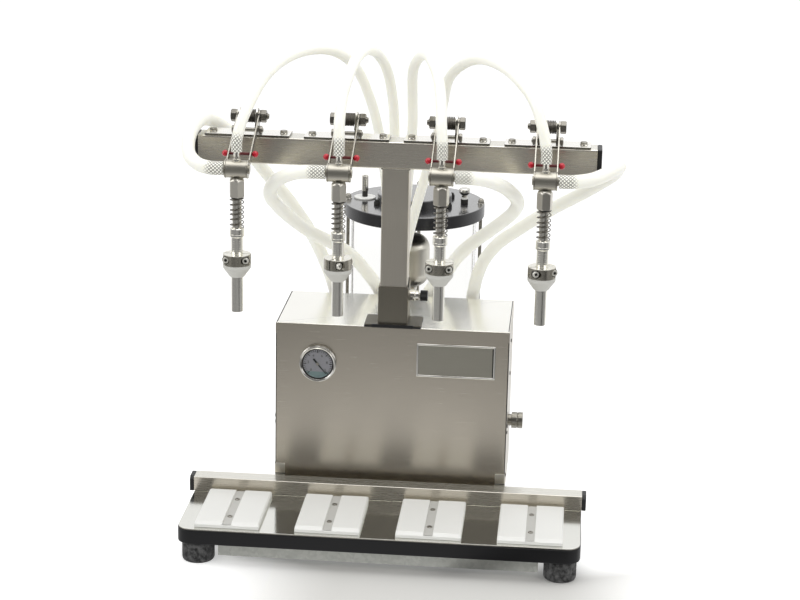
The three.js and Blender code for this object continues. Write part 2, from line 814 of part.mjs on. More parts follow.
function plateWithEars() {
  const rise = pivotZ - bracketBottomZ;
  const front = -tubeSize / 2 + tubeSize * earFrontShare;
  const rear = -tubeSize / 2 + tubeSize * earRearShare;
  const side = new THREE.Shape();
  side.moveTo(front, bracketThickness / 2);
  side.lineTo(rear, bracketThickness / 2);
  side.lineTo(earRadius, rise);
  side.absarc(0, rise, earRadius, 0, Math.PI);
  side.lineTo(front, stopZ - bracketBottomZ + stopBoltDiameter);
  const ears = [-earOuter, earOuter - earThickness].map((start) => (
    sideways(prism(side, earThickness, 5)).translate(start, 0, 0)
  ));
  const screws = [-1, 1].map((hand) => {
    const head = hexRod(plateBoltHead, plateBoltHeadHeight + weld);
    return head.translate((hand * bracketBoltSpan) / 2, 0, bracketThickness - weld);
  });
  return [block(bracketWidth, tubeSize, bracketThickness), ...ears, ...screws];
}

// A bolt along X with its head at the -X end, centred on the span that it grips
function crossBolt(shank, headSize, headLength, nutLength, tail, grip) {
  const shaft = rodAlongX(shank, grip + nutLength + tail + headLength / 2, 8);
  const head = hexRod(headSize, headLength).rotateY(Math.PI / 2).translate(-headLength, 0, 0);
  const nut = hexRod(headSize, nutLength).rotateY(Math.PI / 2).translate(grip, 0, 0);
  return join(shaft.translate(-headLength / 2, 0, 0), head, nut).translate(-grip / 2, 0, 0);
}

// The torsion spring: its coil rides on a bush, and its long leg hooks on the stop bolt
function torsionLine(room) {
  const mean = (torsionOuter - torsionWire) / 2;
  const down = pivotZ - stopZ;
  const toStop = Math.hypot(stopForward, down);
  const legToStop = Math.sqrt(toStop ** 2 - mean ** 2);
  const height = room - torsionWire - 2 * seat;
  const line = coil(mean, torsionWire, torsionTurns, height, torsionLeg, legToStop);
  const stopAngle = Math.atan2(-down, -stopForward);
  const start = stopAngle + Math.acos(mean / toStop);
  const place = new THREE.Matrix4().makeBasis(
    new THREE.Vector3(0, Math.cos(start), Math.sin(start)),
    new THREE.Vector3(0, -Math.sin(start), Math.cos(start)),
    new THREE.Vector3(1, 0, 0),
  );
  return line.map((point) => point.add(new THREE.Vector3(0, 0, -height / 2)).applyMatrix4(place));
}

function headHand(index) {
  return index < headCount / 2 ? -1 : 1;
}

function makeBrackets() {
  const grip = armGap + 2 * armThickness + 2 * seat;
  const room = 2 * (earOuter - earThickness);
  const line = torsionLine(room);
  console.log(`torsion spring gap ${leastGap(line, torsionWire).toFixed(2)} mm`);
  const chordRadius = ((torsionOuter - torsionWire) / 2) * Math.cos(Math.PI / coilSteps);
  const bushSize = 2 * (chordRadius - seat) - torsionWire;
  const rise = pivotZ - bracketBottomZ;
  const pivot = crossBolt(
    pivotBoltDiameter, pivotHeadDiameter, pivotHeadLength, pivotNutLength, pivotTailLength, grip,
  );
  const stop = crossBolt(
    stopBoltDiameter, stopHeadDiameter, stopHeadLength, stopHeadLength, stopHeadLength / 4, grip,
  );
  const form = join(
    ...plateWithEars(),
    pivot.translate(0, 0, rise),
    stop.translate(0, -stopForward, stopZ - bracketBottomZ),
    rodAlongX(bushSize, room + 2 * weld, 12).translate(-room / 2 - weld, 0, rise),
    wireTube(line, torsionWire).translate(0, 0, rise),
  );
  for (let i = 0; i < headCount; i += 1) {
    const turn = headHand(i) > 0 ? Math.PI : 0;
    const bracket = piece(machine, `head_bracket_${i + 1}`, finish.brushed, turn ? mirrored(form) : form);
    bracket.position.set(stationX(i), columnY, bracketBottomZ);
  }
}

// The same form with left and right exchanged
function mirrored(geometry) {
  return closed(geometry.clone().scale(-1, 1, 1));
}

// Arms: two dog-bone plates from the pivot bolt down to the ends of the nozzle block
function armForm() {
  const endRadius = armEndDiameter / 2;
  const eyeRadius = armEyeDiameter / 2;
  const waist = armWaist / 2;
  const endAngle = Math.asin(waist / endRadius);
  const eyeAngle = Math.asin(waist / eyeRadius);
  const plate = new THREE.Shape();
  plate.moveTo(endRadius * Math.cos(endAngle), waist);
  plate.lineTo(armLength - eyeRadius * Math.cos(eyeAngle), waist);
  plate.absarc(armLength, 0, eyeRadius, Math.PI - eyeAngle, eyeAngle - Math.PI, true);
  plate.lineTo(endRadius * Math.cos(endAngle), -waist);
  plate.absarc(0, 0, endRadius, -endAngle, endAngle - 2 * Math.PI, true);
  const holes = [
    [armLength * pinShare, bored(pinDiameter, 8) / 2],
    [armLength, bored(pivotBoltDiameter, 8) / 2],
  ];
  for (const [along, radius] of holes) {
    const hole = new THREE.Path();
    hole.absarc(along, 0, radius, 0, 2 * Math.PI, false);
    plate.holes.push(hole);
  }
  const flat = prism(plate, armThickness, 4).rotateZ(armTilt);
  return sideways(flat);
}

// Block: a cross cylinder with journals, hose stubs, the dome nut and the inner stem
function blockForm() {
  const bodyLength = armGap + 2 * weld;
  const journalLength = armGap + 2 * armThickness + 2 * sideStubLength;
  const body = rodAlongX(blockDiameter, bodyLength, 14).translate(-bodyLength / 2, 0, 0);
  const journal = rodAlongX(journalDiameter, journalLength, 10).translate(-journalLength / 2, 0, 0);
  const barbTop = blockDiameter / 2 + barbLength;
  const barb = turned([
    [0, 0],
    [barbDiameter / 2, 0],
    [barbDiameter / 2, barbTop - barbLength / 2],
    [barbDiameter / 2 + barbRidge, barbTop - barbLength / 2],
    [barbDiameter / 2, barbTop],
    [0, barbTop],
  ], 8);
  const nutTop = -blockDiameter / 2 + overrun;
  const nutRadius = domeNutDiameter / 2;
  const nut = turned([
    [0, nutTop],
    [domeNutNeck / 2, nutTop],
    [nutRadius * domeShoulderShare, nutTop - overrun - domeNutCrown / 2],
    [nutRadius, nutTop - overrun - domeNutCrown],
    [nutRadius, -blockDiameter / 2 - domeNutHeight],
    [0, -blockDiameter / 2 - domeNutHeight],
  ], 14);
  const stemTop = -blockDiameter / 2 - domeNutHeight + overrun;
  const stem = rod(stemDiameter, stemLength + overrun, 12).translate(0, 0, stemTop - stemLength - overrun);
  const bore = rod(stemBore, stemLength, 8).translate(0, 0, stemTop - stemLength - 2 * overrun);
  return cut(join(body, journal, barb, nut, stem), bore);
}

// One head: both arms fused to the block that they carry
function headForm() {
  return join(
    blockForm(),
    armForm().translate(-armGap / 2 - armThickness, 0, 0),
    armForm().translate(armGap / 2, 0, 0),
  );
}

function tubeForm() {
  const bore = bored(stemDiameter, 14) / 2;
  return turned([
    [bore, 0],
    [sleeveDiameter / 2, 0],
    [sleeveDiameter / 2, sleeveLength - seatRingHeight],
    [seatRingDiameter / 2, sleeveLength - seatRingHeight],
    [seatRingDiameter / 2, sleeveLength],
    [bore, sleeveLength],
    [bore, 0],
  ], 14);
}

// Sleeve with its level collar: two half rings with counterbored holes for their screws
function sleeveForm(turn) {
  const outer = collarDiameter / 2;
  const inner = sleeveDiameter / 2 - weld;
  const slit = collarSlit / 2;
  const outerAngle = Math.asin(slit / outer);
  const innerAngle = Math.asin(slit / inner);
  const half = new THREE.Shape();
  half.absarc(0, 0, outer, outerAngle, Math.PI - outerAngle, false);
  half.absarc(0, 0, inner, Math.PI - innerAngle, innerAngle, true);
  const ring = prism(half, collarHeight, 5);
  const pocketStart = collarScrewLength / 2 - collarScrewHeadLength;
  const pockets = [-1, 1].map((side) => (
    rod(bored(collarScrewHead, 8), outer, 8).translate(0, 0, pocketStart)
      .rotateX(Math.PI / 2).translate(side * collarScrewAcross, 0, collarHeight / 2)
  ));
  const collar = cut(join(ring, ring.clone().rotateZ(Math.PI)), ...pockets).rotateZ(turn);
  const bore = rod(bored(stemDiameter, 14), sleeveLength + 2 * overrun, 14).translate(0, 0, -overrun);
  return cut(join(tubeForm(), collar.translate(0, 0, collarAboveTip)), bore);
}

function coneForm() {
  const bore = bored(sleeveDiameter, 16) / 2;
  return turned([
    [bore, -coneHeight],
    [coneTipDiameter / 2, -coneHeight],
    [collarDiameter / 2, -coneBand],
    [collarDiameter / 2, 0],
    [bore, 0],
    [bore, -coneHeight],
  ], 16);
}

function pinForm() {
  const half = armGap / 2 + armThickness + pinBallDiameter / 2 + seat;
  const shaft = rodAlongX(pinDiameter, 2 * half, 6).translate(-half, 0, 0);
  const balls = [-1, 1].map((side) => new THREE.SphereGeometry(pinBallDiameter / 2, 8, 4)
    .translate(side * half, 0, 0));
  return join(shaft, ...balls);
}

// The collars stand turned differently about their sleeves, in degrees
const collarTurns = [0, 62, 0, 24];

function makeHeads() {
  const springGap = springLength - 2 * seat - springWire;
  const springLine = coil((springOuter - springWire) / 2, springWire, springTurns, springGap, springWire);
  console.log(`nozzle spring gap ${leastGap(springLine, springWire).toFixed(2)} mm`);
  for (let i = 0; i < headCount; i += 1) {
    const head = new THREE.Group();
    const hand = headHand(i);
    head.position.set(stationX(i), nozzleY, 0);
    machine.add(head);
    const number = i + 1;

    const form = headForm();
    piece(head, `head_${number}`, finish.polished, hand > 0 ? mirrored(form) : form).position.z = blockZ;
    const pin = piece(head, `pin_${number}`, finish.redPlastic, pinForm());
    pin.position.set(0, armReach * pinShare, blockZ + armDrop * pinShare);

    const turn = THREE.MathUtils.degToRad(collarTurns[i % collarTurns.length]);
    const sleeve = piece(head, `sleeve_${number}`, finish.brushed, sleeveForm(turn));
    sleeve.position.z = tipZ;
    piece(head, `bottle_cone_${number}`, finish.whitePlastic, coneForm()).position.z = collarBottomZ - seat;
    const spring = wireTube(springLine, springWire);
    piece(head, `spring_${number}`, finish.springSteel, spring).position.z = sleeveTopZ + seat + springWire / 2;
  }
}

// Overflow vessel: base disc, glass, lid with its fittings, tie rods, float and knob
function rimDisc(height) {
  const radius = vesselRimDiameter / 2;
  return turned([
    [0, 0],
    [radius - vesselRimChamfer, 0],
    [radius, vesselRimChamfer],
    [radius, height - vesselRimChamfer],
    [radius - vesselRimChamfer, height],
    [0, height],
  ], 32);
}

function makeVessel() {
  const vessel = new THREE.Group();
  vessel.position.y = vesselY;
  machine.add(vessel);
  const rodPlaces = [0, 0.5, 1].map((share) => share * Math.PI).map((angle) => [
    (tieRodCircle / 2) * Math.cos(angle),
    (tieRodCircle / 2) * Math.sin(angle),
  ]);
  const rodHoles = (height) => rodPlaces.map(([x, y]) => {
    const hole = rod(bored(tieRodDiameter, 10), height + 2 * overrun, 10);
    return hole.translate(x, y, -overrun);
  });

  const rodTop = lidTopZ + seat + tieRodNutHeight + tieRodTail - vesselBaseZ;
  const nutAt = lidTopZ + seat - vesselBaseZ;
  const tieRods = rodPlaces.flatMap(([x, y]) => [
    rod(tieRodDiameter, rodTop - weld, 10).translate(x, y, weld),
    hexRod(tieRodNutDiameter, tieRodNutHeight).translate(x, y, nutAt),
  ]);
  const base = join(rimDisc(vesselBaseHeight), ...tieRods);
  piece(vessel, 'vessel_base', finish.lidPlastic, base).position.z = vesselBaseZ;

  const outer = glassDiameter / 2;
  const inner = outer - glassWall;
  const glass = turned([
    [inner, 0],
    [outer, 0],
    [outer, glassHeight],
    [inner, glassHeight],
    [inner, 0],
  ], 32);
  piece(vessel, 'vessel_glass', finish.glass, glass).position.z = glassBottomZ;

  const boss = rod(lidBossDiameter, lidBossHeight + overrun, 24).translate(0, 0, lidThickness - overrun);
  const post = rod(knobPostDiameter, knobPostHeight + overrun, 10);
  const studs = [];
  for (let i = 0; i < lidStudCount; i += 1) {
    const angle = ((i + 0.5) / lidStudCount) * 2 * Math.PI;
    const stud = rod(lidStudDiameter, lidStudHeight + weld, 8);
    const reach = lidStudCircle / 2;
    studs.push(stud.translate(reach * Math.cos(angle), reach * Math.sin(angle), lidThickness - weld));
  }
  const breather = turned([
    [breatherBore / 2, -weld],
    [breatherWasherDiameter / 2, -weld],
    [breatherWasherDiameter / 2, breatherWasherThickness],
    [breatherDiameter / 2, breatherWasherThickness],
    [breatherDiameter / 2, breatherHeight],
    [breatherBore / 2, breatherHeight],
    [breatherBore / 2, -weld],
  ], 12).translate(-breatherAcross, breatherBack, lidThickness);
  const guide = [
    rod(floatRodDiameter, floatRodLength + weld, 10).translate(0, 0, -floatRodLength),
    rod(floatStopDiameter, floatStopHeight, 12).translate(0, 0, -floatRodLength),
  ];
  const disc = cut(rimDisc(lidThickness), ...rodHoles(lidThickness));
  const lid = join(
    disc, boss, post.translate(knobAcross, 0, lidThickness - overrun), ...studs, breather, ...guide,
  );
  piece(vessel, 'vessel_lid', finish.lidPlastic, lid).position.z = lidBottomZ;

  const knobBore = bored(knobPostDiameter, 12) / 2;
  const knobProfile = [
    [0, knobPostHeight + seat],
    [knobBore, knobPostHeight + seat],
    [knobBore, 0],
    [knobNeckDiameter / 2, 0],
    [knobNeckDiameter / 2, knobNeckHeight],
    [knobDiameter / 2, knobNeckHeight],
    [knobDiameter / 2, knobNeckHeight + knobHeight / 2],
    [(knobDiameter / 2) * knobCrownShare, knobNeckHeight + knobHeight],
    [0, knobNeckHeight + knobHeight],
  ];
  const knob = piece(vessel, 'regulator_knob', finish.polished, turned(knobProfile, 12));
  knob.position.set(knobAcross, 0, lidTopZ + seat);

  const radius = floatDiameter / 2;
  const bore = bored(floatRodDiameter, 20) / 2;
  const float = turned([
    [bore, 0],
    [radius * floatPoleShare, 0],
    [radius * floatShoulderShare, floatDome * floatCurveShare],
    [radius, floatDome],
    [radius, floatHeight - floatDome],
    [radius * floatShoulderShare, floatHeight - floatDome * floatCurveShare],
    [radius * floatPoleShare, floatHeight],
    [bore, floatHeight],
    [bore, 0],
  ], 20);
  const floatZ = lidBottomZ - floatRodLength + floatStopHeight + seat;
  piece(vessel, 'float', finish.polished, float).position.z = floatZ;
}

// Manifold: the product tube, plugged at both ends, on two posts, and the vacuum block behind it
function makeManifold() {
  const start = -manifoldLength / 2;
  const insideRadius = manifoldDiameter / 2 - manifoldWall;
  const tube = rodAlongX(manifoldDiameter, manifoldLength, 16).translate(start, 0, 0);
  const barbs = [];
  for (let i = 0; i < headCount; i += 1) {
    const x = (i - (headCount - 1) / 2) * manifoldPitch;
    const barb = rod(manifoldBarbDiameter, manifoldBarbTop - insideRadius, 8);
    barbs.push(barb.translate(x, 0, insideRadius));
  }
  const postLength = manifoldY - boxRearY - seat - insideRadius;
  const posts = [-1, 1].map((side) => {
    const post = rod(manifoldPostDiameter, postLength, 8).rotateX(-Math.PI / 2);
    return post.translate((side * manifoldPostSpan) / 2, boxRearY + seat - manifoldY, 0);
  });
  const vacuum = [block(vacuumBlockWidth, vacuumBlockDepth, vacuumBlockHeight)];
  for (const across of [-1, 1]) {
    for (const back of [-1, 1]) {
      const barb = rod(barbDiameter, manifoldBarbTop - vacuumBlockHeight / 2 + overrun, 8);
      const place = [(across * vacuumBarbSpanX) / 2, (back * vacuumBarbSpanY) / 2];
      vacuum.push(barb.translate(...place, vacuumBlockHeight - overrun));
    }
  }
  const vacuumY = manifoldDiameter / 2 - overrun + vacuumBlockDepth / 2;
  const vacuumBlock = join(...vacuum).translate(vacuumBlockAcross, vacuumY, -vacuumBlockHeight / 2);
  const form = join(tube, ...barbs, ...posts, vacuumBlock);
  const manifold = piece(machine, 'hose_manifold', finish.polished, form);
  manifold.position.set(0, manifoldY, manifoldZ);
}

// Hose routes from the head to the manifold, as points chosen by hand
const vacuumRoutes = [
  [
    [-219, -234, 590.9], [-219, -234, 604], [-214, -226, 630], [-202, -202, 662], [-188, -168, 688],
    [-166, -124, 706], [-138, -84, 713], [-106, -42, 706], [-78, 4, 676], [-58, 46, 618], [-46, 72, 560],
    [-38, 84, 500], [-31, 92, 425], [-28, 94.5, 340], [-28, 94.5, 282.3],
  ],
  [
    [-73, -234, 590.9], [-73, -234, 604], [-74, -226, 636], [-73, -202, 666], [-69, -168, 690],
    [-63, -128, 708], [-53, -86, 716], [-41, -42, 705], [-30, 0, 676], [-24, 36, 632], [-21, 56, 580],
    [-22, 66, 490], [-27, 74, 390], [-28, 75.5, 330], [-28, 75.5, 282.3],
  ],
  [
    [73, -234, 590.9], [73, -234, 604], [70, -226, 640], [67, -204, 668], [61, -174, 692], [51, -138, 707],
    [39, -98, 714], [24, -54, 703], [12, -16, 676], [9, 20, 632], [8, 46, 580], [1, 72, 490],
    [-7, 90, 390], [-8, 94.5, 330], [-8, 94.5, 282.3],
  ],
  [
    [219, -234, 590.9], [219, -234, 606], [212, -229, 640], [198, -212, 674], [176, -186, 697],
    [150, -148, 710], [118, -98, 711], [90, -50, 695], [66, -10, 665], [56, 16, 620], [48, 32, 570],
    [31, 46, 505], [6, 63, 408], [-7, 74, 336], [-8, 75.5, 310], [-8, 75.5, 282.3],
  ],
];
const productRoutes = [
  [
    [-238.2, -234, 565.6], [-256, -234, 565.6], [-275, -230, 569], [-290, -216, 578], [-297, -190, 591],
    [-297, -161, 603], [-294, -131, 609], [-286, -97, 607], [-267, -68, 591], [-240, -48, 560],
    [-208, -30, 514], [-176, -14, 470], [-144, 5, 415], [-124, 23, 366], [-110, 42, 316], [-108, 52, 298],
    [-108, 52, 282.3],
  ],
  [
    [-92.2, -234, 565.6], [-112, -234, 565.6], [-136, -230, 562], [-158, -218, 551], [-174, -196, 534],
    [-181, -168, 513], [-177, -136, 492], [-162, -100, 464], [-136, -66, 434], [-108, -34, 410],
    [-80, -6, 384], [-58, 22, 350], [-40, 44, 316], [-36, 52, 298], [-36, 52, 282.3],
  ],
  [
    [92.2, -234, 565.6], [112, -234, 565.6], [137, -230, 562], [159, -217, 551], [173, -194, 535],
    [179, -166, 518], [176, -136, 499], [163, -104, 477], [140, -70, 450], [113, -38, 421], [89, -8, 391],
    [66, 22, 352], [41, 44, 316], [36, 52, 298], [36, 52, 282.3],
  ],
  [
    [238.2, -234, 565.6], [256, -234, 565.6], [284, -229, 569], [308, -211, 576], [321, -182, 578],
    [321, -148, 567], [315, -114, 550], [280, -76, 517], [230, -46, 480], [182, -16, 440], [146, 8, 406],
    [122, 30, 366], [110, 43, 318], [108, 52, 298], [108, 52, 282.3],
  ],
];

function hoseForm(route, diameter) {
  const curve = new THREE.CatmullRomCurve3(route.map((point) => new THREE.Vector3(...point)), false, 'centripetal');
  const section = new THREE.Shape();
  section.absarc(0, 0, diameter / 2, 0, 2 * Math.PI, false);
  const steps = Math.round(curve.getLength() / (hoseStepDiameters * diameter));
  return new THREE.ExtrudeGeometry(section, { steps, extrudePath: curve, curveSegments: hoseSides / 2 });
}

function makeHoses() {
  vacuumRoutes.forEach((route, i) => {
    piece(machine, `vacuum_hose_${i + 1}`, finish.hose, hoseForm(route, vacuumHoseDiameter));
  });
  productRoutes.forEach((route, i) => {
    piece(machine, `product_hose_${i + 1}`, finish.hose, hoseForm(route, productHoseDiameter));
  });
}

makeBase();
makeStations();
makeHousing();
makeGauge();
makeSidePort();
makePump();
makeSocket();
makeColumn();
makeBrackets();
makeHeads();
makeVessel();
makeManifold();
makeHoses();

export default machine;
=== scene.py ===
"""Looks of a bench-top vacuum filling machine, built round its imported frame.

Four spring-loaded nozzles swing on a square beam over white bottle pads. A steel housing holds the pump,
and a clear vessel behind it catches the overflow. Surfaces are worked out with numpy in millimetres. The
hoses' routes, the stage and the camera are in metres.
"""

import math
from types import SimpleNamespace

import bmesh
import bpy
import numpy as np
from mathutils import Matrix, Vector


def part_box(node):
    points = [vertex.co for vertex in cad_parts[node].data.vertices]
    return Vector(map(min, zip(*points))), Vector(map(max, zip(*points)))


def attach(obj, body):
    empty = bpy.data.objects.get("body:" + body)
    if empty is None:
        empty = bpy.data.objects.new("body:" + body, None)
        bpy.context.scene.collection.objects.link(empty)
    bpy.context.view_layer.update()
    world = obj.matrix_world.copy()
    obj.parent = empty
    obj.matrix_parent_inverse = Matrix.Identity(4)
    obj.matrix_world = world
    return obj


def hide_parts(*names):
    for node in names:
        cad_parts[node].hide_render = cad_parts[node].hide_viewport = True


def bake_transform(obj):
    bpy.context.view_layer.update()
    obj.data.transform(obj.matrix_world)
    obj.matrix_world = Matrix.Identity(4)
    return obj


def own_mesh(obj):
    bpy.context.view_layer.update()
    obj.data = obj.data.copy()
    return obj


bl_info = {
    "name": "Vacuum Filling Machine Looks",
    "version": (1, 0, 0),
    "blender": (4, 5, 0),
    "location": "View3D > Sidebar > Filler",
    "description": "Builds the finished surfaces of a four-head bench vacuum filler",
    "category": "Add Mesh",
}

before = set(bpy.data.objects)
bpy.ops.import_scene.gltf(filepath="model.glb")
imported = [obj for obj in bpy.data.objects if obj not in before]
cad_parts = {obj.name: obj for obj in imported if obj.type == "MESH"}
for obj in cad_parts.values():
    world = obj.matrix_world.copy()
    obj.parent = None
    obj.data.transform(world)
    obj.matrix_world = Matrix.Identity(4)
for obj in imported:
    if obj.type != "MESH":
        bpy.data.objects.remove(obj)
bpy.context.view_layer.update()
MM = 0.001
HEADS = (1, 2, 3, 4)


def corners(name):
    """The lowest and highest corners of a node, in millimetres."""
    low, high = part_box(name)
    return np.array(low) / MM, np.array(high) / MM


def centre(name):
    low, high = corners(name)
    return (low + high) / 2


# Places that many pieces share, read from the frame
BASE_LOW, BASE_HIGH = corners("base_board")
BOX_LOW, BOX_HIGH = corners("housing")
BEAM_LOW, BEAM_HIGH = corners("column_frame")
BEAM_Y = centre("column_frame")[1]
GLASS_LOW, GLASS_HIGH = corners("vessel_glass")


def linear(code):
    """The linear RGB of an sRGB hex value such as '#8A857A'."""
    channel = np.array([int(code[i:i + 2], 16) for i in (1, 3, 5)]) / 255
    value = np.where(channel <= 0.04045, channel / 12.92, ((channel + 0.055) / 1.055) ** 2.4)
    return tuple(float(v) for v in value)


def length(name, default, description):
    """A length property whose default is given in millimetres."""
    return bpy.props.FloatProperty(name=name, description=description, default=default * MM, min=0.0,
                                   unit="LENGTH")


def colour(name, code, description):
    """A colour property, written as an sRGB hex value."""
    return bpy.props.FloatVectorProperty(name=name, description=description, default=linear(code), min=0.0,
                                         max=1.0, size=3, subtype="COLOR")


class FillerSizes(bpy.types.PropertyGroup):
    """Small sizes that the frame doesn't hold."""

    board_edge: length("Board edge", 1.5, "Rounding along the rims of the base board")
    pad_bevel: length("Pad bevel", 7, "Width of the slope along the front of a bottle pad")
    pad_groove: length("Pad groove", 13, "Width of the groove that holds the pad's screws")
    sheet_edge: length("Sheet edge", 1.6, "Bend radius at the edges of the folded housing")
    panel_gap: length("Panel gap", 1.6, "Dark joint between the front panel and the sides")
    tube_edge: length("Tube edge", 3, "Corner radius of the column and the beam")
    plate_frame: length("Plate frame", 3.2, "Width of the raised frame round the bare plate")
    bezel: length("Gauge bezel", 4.3, "Width of the gauge's chrome rim")
    arm_edge: length("Arm edge", 0.4, "Rounding along the arm plates")
    spring_wire: length("Spring wire", 1.5, "Wire of the nozzle springs")
    sleeve_travel: length("Sleeve travel", 18, "How far a bottle's mouth lifts a sleeve against its spring")
    torsion_wire: length("Torsion wire", 1.8, "Wire of the torsion springs at the pivots")
    vessel_edge: length("Vessel edge", 1.5, "Rounding along the rims of the lid and base disc")
    braid_length: length("Braid length", 24, "Length of reinforced hose that shows at each fitting")


class FillerColours(bpy.types.PropertyGroup):
    """Colours read from the photograph under plain light."""

    # Steel upright and steel level differ by a painted reflection: the upright one is darker for the dark
    # room, the level one paler for the pale sky
    steel_upright: colour("Steel upright", "#BEB7AA", "Brushed steel on upright faces")
    steel_level: colour("Steel level", "#E2E0D8", "Brushed steel on level faces")
    machined: colour("Machined steel", "#D8D5CC", "Turned and polished fittings")
    zinc: colour("Zinc", "#ABACA6", "Galvanised rails")
    board: colour("Board", "#0E0E10", "Black board, caps and knobs")
    lid: colour("Lid", "#29292B", "Dark plastic of the vessel's lid")
    pad: colour("Pad", "#F2F2EE", "White plastic of the pads")
    pin: colour("Pin", "#C3122B", "Red ball pins")
    hose: colour("Hose", "#FBFAF0", "Milky silicone hose")
    foot: colour("Foot", "#343434", "Mottled grey rubber")
    dial: colour("Dial", "#8B8B90", "Gauge dial")
    floor: colour("Floor", "#F6F6F5", "Floor and backdrop")


def sizes():
    """The sizes in millimetres."""
    held = bpy.context.scene.filler_sizes
    return SimpleNamespace(**{name: getattr(held, name) / MM for name in FillerSizes.__annotations__})


def colours():
    return bpy.context.scene.filler_colours


# Surfaces: a surface is a pair of points and faces


def grid(points, closed=False):
    """Rings of points joined by quads: ring i to ring i + 1, each ring closed on itself.

    closed joins the last ring to the first. Otherwise a flat face closes each end.
    """
    points = np.asarray(points, float)
    rings, around = points.shape[:2]
    row = np.arange(rings if closed else rings - 1)[:, None]
    column = np.arange(around)[None, :]
    beside = (column + 1) % around
    above = (row + 1) % rings * around
    corner = (row * around + column, row * around + beside, above + beside, above + column)
    faces = np.stack(corner, axis=-1).reshape(-1, 4).tolist()
    if not closed:
        faces.append(list(range(around))[::-1])
        faces.append(list(range((rings - 1) * around, rings * around)))
    return points.reshape(-1, 3), faces


def arc(radius, start, end, count, x=0.0, y=0.0):
    """Points on a circle about (x, y) from one angle to another."""
    t = np.linspace(start, end, count)
    return np.stack([x + radius * np.cos(t), y + radius * np.sin(t)], axis=1)


def on_circle(radius, angle):
    return radius * math.cos(angle), radius * math.sin(angle)


def full_turn(count):
    """That many even angles round a full turn."""
    return np.linspace(0, 2 * np.pi, count, endpoint=False)


def rounded(points, radius, steps=4, closed=True):
    """Each corner p becomes the curve (1-t)^2 a + 2t(1-t) p + t^2 b between points on its two sides."""
    points = np.asarray(points, float)
    before = np.roll(points, 1, axis=0) - points
    after = np.roll(points, -1, axis=0) - points
    span = [np.linalg.norm(side, axis=1, keepdims=True) for side in (before, after)]
    radius = np.broadcast_to(np.asarray(radius, float).reshape(-1, 1), (len(points), 1))
    starts = points + before / span[0] * np.minimum(radius, 0.45 * span[0])
    ends = points + after / span[1] * np.minimum(radius, 0.45 * span[1])
    t = np.linspace(0, 1, steps + 1)[None, :, None]
    curve = (1 - t) ** 2 * starts[:, None] + 2 * t * (1 - t) * points[:, None] + t ** 2 * ends[:, None]
    if closed:
        return curve.reshape(-1, points.shape[1])
    return np.vstack([points[:1], curve[1:-1].reshape(-1, points.shape[1]), points[-1:]])


def polar(radius, angle, height, closed=False):
    """Rings about Z: (r cos a, r sin a, h), with a row of radii and one height for each ring."""
    radius = np.broadcast_to(radius, (len(height), len(angle)))
    z = np.broadcast_to(np.asarray(height, float)[:, None], radius.shape)
    return grid(np.stack([radius * np.cos(angle), radius * np.sin(angle), z], axis=-1), closed)


def turned(profile, sides=48, closed=False):
    """A lathe form about Z from [radius, height] pairs."""
    radius, height = np.asarray(profile, float).T
    return polar(radius[:, None], full_turn(sides), height, closed)


def lathe(points, edge, sides=48, steps=3, closed=True):
    """A lathe form whose corners are rounded first. A closed one has a bore, an open one has flat ends."""
    return turned(rounded(points, edge, steps, closed), sides, closed)


def pipe(outer, inner, low, high, edge=0.2, sides=48):
    return lathe([[inner, low], [outer, low], [outer, high], [inner, high]], edge, sides, 2)


def eased(low, high, edge, steps):
    """How far each ring is drawn in, and its height: both rims follow a quarter circle of radius edge."""
    t = np.linspace(0, np.pi / 2, steps + 1)
    inset, rise = edge * (1 - np.sin(t)), edge * (1 - np.cos(t))
    return np.concatenate([inset, inset[::-1]]), np.concatenate([low + rise, high - rise[::-1]])


def drum(radius, low, high, edge=0.5, sides=48):
    """A solid round bar about Z from low to high with eased rims."""
    inset, height = eased(low, high, edge, 3)
    return turned(np.stack([radius - inset, height], axis=1), sides)


def rectangle(width, depth, radius, steps=4):
    """An anticlockwise rectangle about the origin with round corners."""
    x, y = width / 2, depth / 2
    return rounded([[-x, -y], [x, -y], [x, y], [-x, y]], radius, steps)


def slab(outline, low, high, edge=0.5, steps=3):
    """An outline carried from low to high, drawn in along its normals at each rim."""
    outline = np.asarray(outline, float)
    along = np.roll(outline, -1, axis=0) - np.roll(outline, 1, axis=0)
    along /= np.linalg.norm(along, axis=1, keepdims=True)
    normal = np.stack([along[:, 1], -along[:, 0]], axis=1)
    inset, height = eased(low, high, edge, steps)
    flat = outline[None] - inset[:, None, None] * normal[None]
    z = np.broadcast_to(height[:, None, None], flat.shape[:2] + (1,))
    return grid(np.concatenate([flat, z], axis=-1))


def plate(width, depth, radius, low, high, edge=0.5, steps=4):
    return slab(rectangle(width, depth, radius, steps), low, high, edge)


def level(outline, z):
    """A flat outline as points at height z."""
    return np.column_stack([outline, np.full(len(outline), z)])


def relief(xs, ys, heights, low):
    """A block with a flat foot, whose top is the height field heights[y, x] over the grid of xs and ys."""
    x, y = np.meshgrid(xs, ys)
    top = np.stack([x, y, heights], axis=-1)
    foot = np.stack([x, y, np.full_like(x, low)], axis=-1)
    index = np.arange(x.size).reshape(x.shape)
    quads = np.stack([index[:-1, :-1], index[:-1, 1:], index[1:, 1:], index[1:, :-1]], axis=-1).reshape(-1, 4)
    rim = np.concatenate([index[0, :-1], index[:-1, -1], index[-1, :0:-1], index[:0:-1, 0]])
    below = rim + x.size
    sides = np.stack([np.roll(rim, -1), rim, below, np.roll(below, -1)], axis=-1)
    faces = quads.tolist() + sides.tolist() + (quads[:, ::-1] + x.size).tolist()
    return np.concatenate([top.reshape(-1, 3), foot.reshape(-1, 3)]), faces


def unit(vectors):
    return vectors / np.linalg.norm(vectors, axis=1, keepdims=True)


